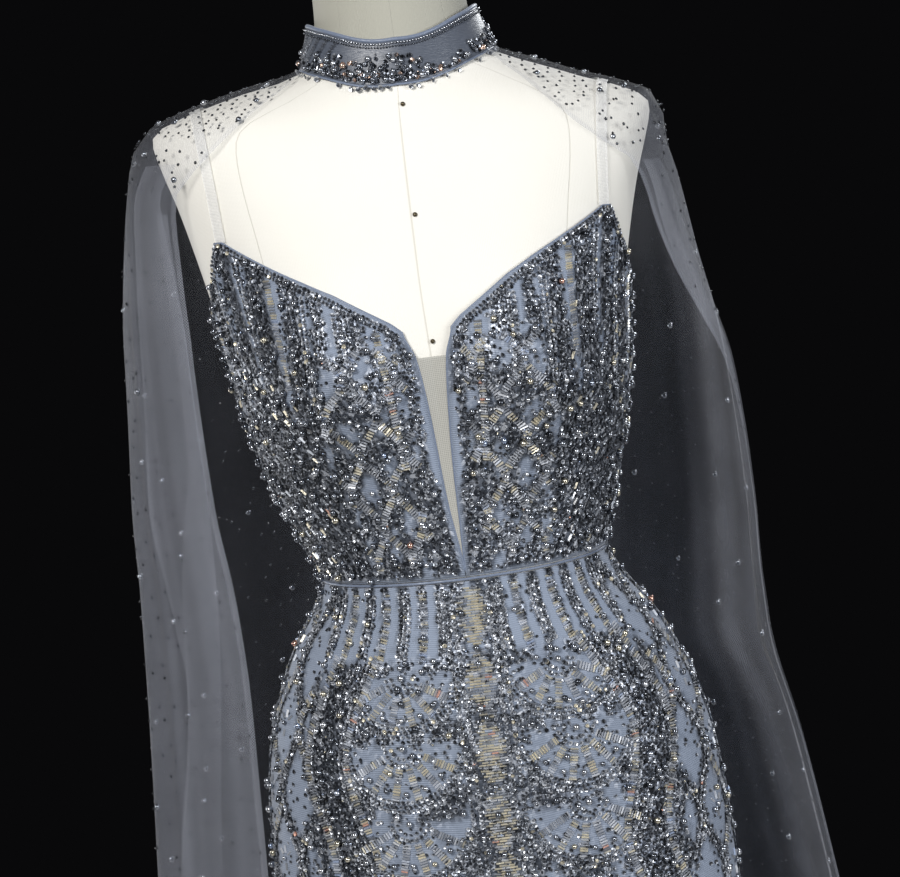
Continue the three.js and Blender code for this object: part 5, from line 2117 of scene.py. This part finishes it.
@dataclass
class Cape:
    """The sheer cape: two halves of tulle with hems, folded layers, studs and balls."""

    hem: float = 0.016
    gathered_to: float = 0.3  # share as far as which the columns are close, for the narrow gathers
    columns: tuple[int, int, int] = (5, 45, 60)  # on the hem of the edge, in front and behind
    rows: tuple[int, int, int] = (4, 90, 34)  # on the lower hem, up to the shoulder and over it
    stud: float = 2.7
    stud_pitch: float = 19.0
    yoke_pitch: float = 12.0
    ball: float = 5.0
    ball_pitch: float = 74.0
    cuts: dict[int, Cut] = field(
        default_factory=lambda: {
            1: Cut(0.59, 1.56, 0.62, "hung", ("collar_band_satin",)),
            -1: Cut(0.63, 1.57, 0.74, "hung", ("collar_band_satin",)),
        }
    )
    # Creases: share of the way from front edge to centre back, half width, and height in millimetres.
    creases: tuple[tuple[float, float, float], ...] = (
        (0.06, 0.02, 2.2),
        (0.14, 0.03, -1.8),
        (0.2, 0.016, 2.0),
        (0.29, 0.03, 1.6),
        (0.4, 0.05, 2.6),
        (0.52, 0.03, -2.0),
        (0.63, 0.06, 2.8),
        (0.76, 0.04, 2.2),
        (0.9, 0.05, 2.4),
    )

    # Where the tulle is gathered thicker: share, half width and amount, for each side.
    gathers: dict[int, tuple[tuple[float, float, float], ...]] = field(
        default_factory=lambda: {
            1: (
                (0.06, 0.03, -0.08), (0.2, 0.05, 0.2), (0.33, 0.05, 0.28), (0.42, 0.02, 0.2),
                (0.5, 0.025, 0.12), (0.56, 0.03, 0.1), (0.7, 0.05, 0.12), (0.86, 0.05, 0.12),
            ),
            -1: (
                (0.02, 0.02, 0.05), (0.055, 0.009, 0.14), (0.1, 0.011, 0.12), (0.15, 0.008, 0.13),
                (0.19, 0.012, 0.1), (0.24, 0.03, 0.1), (0.45, 0.03, 0.08), (0.6, 0.05, 0.1),
                (0.8, 0.06, 0.12),
            ),
        }
    )
    # Layers that are folded back: height, and the shares of the way back between which each lies.
    right_fold: tuple[tuple[float, float, float], ...] = (
        (-1030, 0.006, 0.25),
        (-500, 0.006, 0.23),
        (-220, 0.006, 0.198),
        (-100, 0.006, 0.147),
        (-60, 0.006, 0.138),
        (10, 0.006, 0.165),
        (70, 0.006, 0.181),
        (170, 0.008, 0.165),
        (250, 0.02, 0.16),
        (325, 0.06, 0.17),
    )
    right_tuck: tuple[tuple[float, float, float], ...] = (
        (-900, 0.1, 0.19),
        (-500, 0.1, 0.2),
        (-220, 0.088, 0.19),
        (-100, 0.065, 0.143),
        (-50, 0.052, 0.133),
        (10, 0.034, 0.112),
        (60, 0.014, 0.07),
        (110, 0.008, 0.04),
        (200, 0.008, 0.035),
        (290, 0.02, 0.05),
    )
    left_fold: tuple[tuple[float, float, float], ...] = (
        (-1030, 0.006, 0.24),
        (-500, 0.006, 0.2),
        (-300, 0.006, 0.185),
        (-170, 0.006, 0.16),
        (-60, 0.006, 0.15),
        (0, 0.006, 0.2),
        (80, 0.006, 0.16),
        (200, 0.01, 0.12),
        (300, 0.03, 0.1),
    )

    def name(self, side: int) -> str:
        """The half's name."""
        return "cape_left" if side > 0 else "cape_right"

    def proud(self, side: int, share: Array, along: Array) -> Array:
        """How far creases lift the tulle at places."""
        lift = np.zeros(np.shape(share))
        fade = np.clip((1.5 - along) / 0.8, 0, 1)
        for number, (at, wide, high) in enumerate(self.creases):
            drift = 0.012 * np.sin(3.1 * along + number * 1.7 + side)
            spread = wide * (0.8 + 0.4 * np.sin(2.3 * along + number + side) ** 2)
            lift += high * np.exp(-(((share - at - drift) / spread) ** 2))
        return lift * fade

    def density(self, side: int, share: Array, along: Array) -> Array:
        """How thick the tulle looks at places: gathered in front, thinner over the shoulders, and thinner
        behind as painted shade on the back of the cape, most on the wearer's right.
        """
        # Painted shade: the back of each half is thinned, and so darkened, the wearer's right more than the
        # left.
        front, behind = (0.5, 0.2) if side < 0 else (0.5, 0.4)
        turned = np.clip((share - 0.3) / 0.2, 0, 1)
        cover = front + (behind - front) * turned * turned * (3 - 2 * turned)
        for at, wide, amount in self.gathers[side]:
            drift = 0.02 * np.sin(5.0 * along + 9 * at)
            cover = cover + amount * np.exp(-(((share - at - drift) / wide) ** 2))
        yoke = np.clip((along - 0.93) / 0.1, 0, 1)
        cover = cover + (0.24 - cover) * yoke
        hem = (share < self.hem * 0.9) | (along < 0.0085)
        return np.where(hem, cover + 0.3, cover)

    def stops(self, ends: Sequence[float], counts: Sequence[int]) -> Array:
        """Sets places evenly between each two ends, so many in each stretch, its ends counted in."""
        runs = [np.linspace(low, high, count) for low, high, count in zip(ends, ends[1:], counts)]
        return np.concatenate([runs[0], *(run[1:] for run in runs[1:])])

    def half(self, side: int) -> bpy.types.Object:
        """Builds one half.

        Args:
            side: 1 for the wearer's left and -1 for the right.

        Returns:
            The piece.
        """
        share = self.stops((0, self.hem, self.gathered_to, 1), self.columns)
        across = share if side > 0 else 1 - share[::-1]
        along = self.stops((0, 0.01, 1, 2), self.rows)
        columns, rows = np.meshgrid(across, along)
        shares = columns if side > 0 else 1 - columns
        mesh = laid_cloth(self.cloths[side], across, along, self.proud(side, shares, rows))
        paint(mesh, "layers", self.density(side, shares, rows))
        piece = finished(mesh, self.name(side) + "_tulle", self.tulle)
        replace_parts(piece, self.name(side))
        return piece

    def turned_back(
        self, name: str, side: int, edges: Sequence[Sequence[float]], lift: float
    ) -> bpy.types.Object:
        """Builds a layer of the front edge that is folded back on the half.

        Args:
            name: The layer's name.
            side: 1 for the wearer's left and -1 for the right.
            edges: Heights, and the shares between which the layer lies.
            lift: Millimetres by which it stands off the half.

        Returns:
            The piece.
        """
        rows = sorted(edges)
        first, last = Curve(rows, 1), Curve(rows, 2)
        up = np.linspace(rows[0][0], rows[-1][0], 150)
        along = (up - CAPE_HEM) / (SHOULDER - CAPE_HEM)
        step = np.linspace(0, 1, 25)
        steps, heights = np.meshgrid(step, up)
        share = first(heights) + (last(heights) - first(heights)) * steps
        rows_along = np.broadcast_to(along[:, None], share.shape)
        belly = lift * (0.5 + 2 * steps * (1 - steps)) + self.proud(side, share, rows_along)
        across = share if side > 0 else 1 - share
        mesh = grid_mesh(len(step), len(up), self.cloths[side].points(across, rows_along, belly))
        ends = np.clip(heights - rows[0][0], 0, 120) / 120
        hem = np.where((steps < 0.04) | (steps > 0.93), 0.55, 0.34 + 0.2 * np.abs(steps - 0.5))
        lower = np.clip((heights + 150) / 380, 0, 1)
        paint(mesh, "layers", hem * (0.35 + 0.65 * ends) * (0.5 + 0.5 * lower))
        return finished(mesh, name, self.tulle)

    def dots(self) -> None:
        """Dots the tulle with small dark studs and a few balls."""
        chance = np.random.default_rng(9)
        studs, balls = Beading(Bead.SEED, 400), Beading(Bead.BALL, 401)
        for side in (1, -1):
            cloth = self.cloths[side]
            for beading, pitch, size, dark, light, low, high in (
                (studs, self.stud_pitch, self.stud, 0.04, 0.26, 0.01, 0.95),
                (studs, self.yoke_pitch, self.stud, 0.04, 0.26, 0.97, 1.9),
                (balls, self.ball_pitch, self.ball, 0.36, 0.55, 0.01, 0.95),
                (balls, self.ball_pitch * 0.6, self.ball, 0.36, 0.55, 0.97, 1.9),
            ):
                for number, along in enumerate(self.even(side, pitch, low, high)):
                    share = np.linspace(0.01, 0.99, 60)
                    run = run_along(cloth.points(share, np.full(60, along)))
                    stops = np.arange(pitch * (0.35 + 0.5 * (number % 2)), run[-1], pitch)
                    stops = stops + chance.normal(0, 0.16 * pitch, len(stops))
                    share = np.interp(stops, run, share)
                    rows = along + chance.normal(0, 0.005, len(share))
                    lift = self.proud(side, share if side > 0 else 1 - share, rows)
                    tint = chance.uniform(dark, light, len(share))
                    beading.sew(cloth, share, rows, (size, size, size * 0.75), lift + 0.5, tint)
        studs.piece("cape_studs", BeadFinish("cape_studs", 0.22).material(), "cape_tulle")
        balls.piece("cape_balls", BeadFinish("cape_balls", 0.1).material(), "cape_tulle")

    def even(self, side: int, pitch: float, low: float, high: float) -> Array:
        """Finds rows at an even pitch up a half, between two places along it."""
        along = np.linspace(low, high, 160)
        share = np.full(160, 0.3 if side > 0 else 0.7)
        run = run_along(self.cloths[side].points(share, along))
        return np.interp(np.arange(pitch / 2, run[-1], pitch * 0.87), run, along)

    def build(self) -> None:
        """Builds the cape."""
        self.tulle = Tulle().material()
        self.cloths = {
            1: Cloth(cape_surface(1), CAPE_CLEAR + CAPE_WALL, ("left",)),
            -1: Cloth(cape_surface(-1), CAPE_CLEAR + CAPE_WALL, ("right",)),
        }
        halves = {side: self.half(side) for side in (1, -1)}
        inner = self.turned_back("cape_right_fold_wide", -1, self.right_fold, 1.6)
        outer = self.turned_back("cape_right_fold_narrow", -1, self.right_tuck, 3.4)
        turned = self.turned_back("cape_left_fold", 1, self.left_fold, 1.4)
        declare(halves[1], self.cuts[1])
        declare(halves[-1], self.cuts[-1])
        self.dots()


@dataclass
class Studio:
    """Pale floor, soft lights and the camera."""

    target: tuple[float, float, float] = (0.0, 0.0, 1.146)
    azimuth: float = 0.0
    elevation: float = 6.0
    roll: float = 7.2
    distance: float = 2.2
    lens: float = 112.64
    floor_radius: float = 1.5
    ambient: float = 0.13

    def camera(self) -> None:
        """Sets the camera up, tilted a little to one side."""
        data = bpy.data.cameras.new("camera")
        data.lens = self.lens
        data.sensor_width = 36.0
        camera = bpy.data.objects.new("camera", data)
        bpy.context.scene.collection.objects.link(camera)
        pitch, turn = math.radians(self.elevation), math.radians(self.azimuth)
        back = Vector((math.cos(pitch) * math.sin(turn), -math.cos(pitch) * math.cos(turn), math.sin(pitch)))
        camera.location = Vector(self.target) + self.distance * back
        look = (-back).to_track_quat("-Z", "Y").to_matrix()
        camera.rotation_euler = (look @ Matrix.Rotation(math.radians(-self.roll), 3, "Z")).to_euler()
        bpy.context.scene.camera = camera

    def light(self, name: str, place: Sequence[float], size: float, power: float, colour: Colour) -> None:
        """Adds a soft light that faces the figure.

        Args:
            name: Its name.
            place: Where it is, in metres.
            size: Its width in metres.
            power: Its power in watts.
            colour: Its colour.
        """
        data = bpy.data.lights.new(name, "AREA")
        data.shape = "DISK"
        data.size = size
        data.energy = power
        data.color = colour[:3]
        light = bpy.data.objects.new(name, data)
        light.location = place
        light.rotation_euler = (Vector(self.target) - Vector(place)).to_track_quat("-Z", "Y").to_euler()
        bpy.context.scene.collection.objects.link(light)

    def world(self) -> None:
        """Makes the surroundings dark behind the figure, and a dim soft light all round it."""
        world = bpy.data.worlds.new("studio")
        world.use_nodes = True
        bpy.context.scene.world = world
        tree = world.node_tree
        background = tree.nodes["Background"]
        seen = tree.nodes.new("ShaderNodeLightPath").outputs["Is Camera Ray"]
        mix = tree.nodes.new("ShaderNodeMixRGB")
        mix.inputs["Color1"].default_value = (self.ambient, self.ambient, self.ambient * 1.06, 1)
        mix.inputs["Color2"].default_value = tone(9, 9, 10)
        tree.links.new(seen, mix.inputs["Fac"])
        tree.links.new(mix.outputs["Color"], background.inputs["Color"])

    def floor(self) -> None:
        """Lays the pale floor."""
        bm = bmesh.new()
        bmesh.ops.create_circle(bm, cap_ends=True, segments=96, radius=self.floor_radius)
        mesh = bpy.data.meshes.new("floor")
        bm.to_mesh(mesh)
        bm.free()
        floor = bpy.data.objects.new("floor", mesh)
        floor.location.z = -0.0005
        mesh.materials.append(Metal("floor", tone(206, 205, 202), 0.0, 0.7).material())
        bpy.context.scene.collection.objects.link(floor)

    def build(self) -> None:
        """Builds the studio."""
        bpy.context.scene.view_settings.view_transform = "Standard"
        self.world()
        self.floor()
        self.light("key", (-1.3, -2.6, 2.7), 1.0, 90, (1, 0.985, 0.96, 1))
        self.light("fill", (2.0, -2.0, 1.5), 1.5, 44, (0.96, 0.98, 1, 1))
        self.light("rim", (1.4, 2.2, 2.3), 1.0, 30, (0.95, 0.98, 1, 1))
        self.light("low", (-1.8, 1.4, 1.0), 1.2, 14, (1, 1, 1, 1))
        self.camera()


BEADWORK = Beadwork()


def main() -> None:
    """Builds the part and its studio, in order."""
    logging.basicConfig(level=logging.INFO, format="%(message)s")
    Form().build()
    Gown().build()
    BEADWORK.build()
    Collar().build()
    Cape().build()
    Studio().build()


if __name__ == "__main__":
    main()
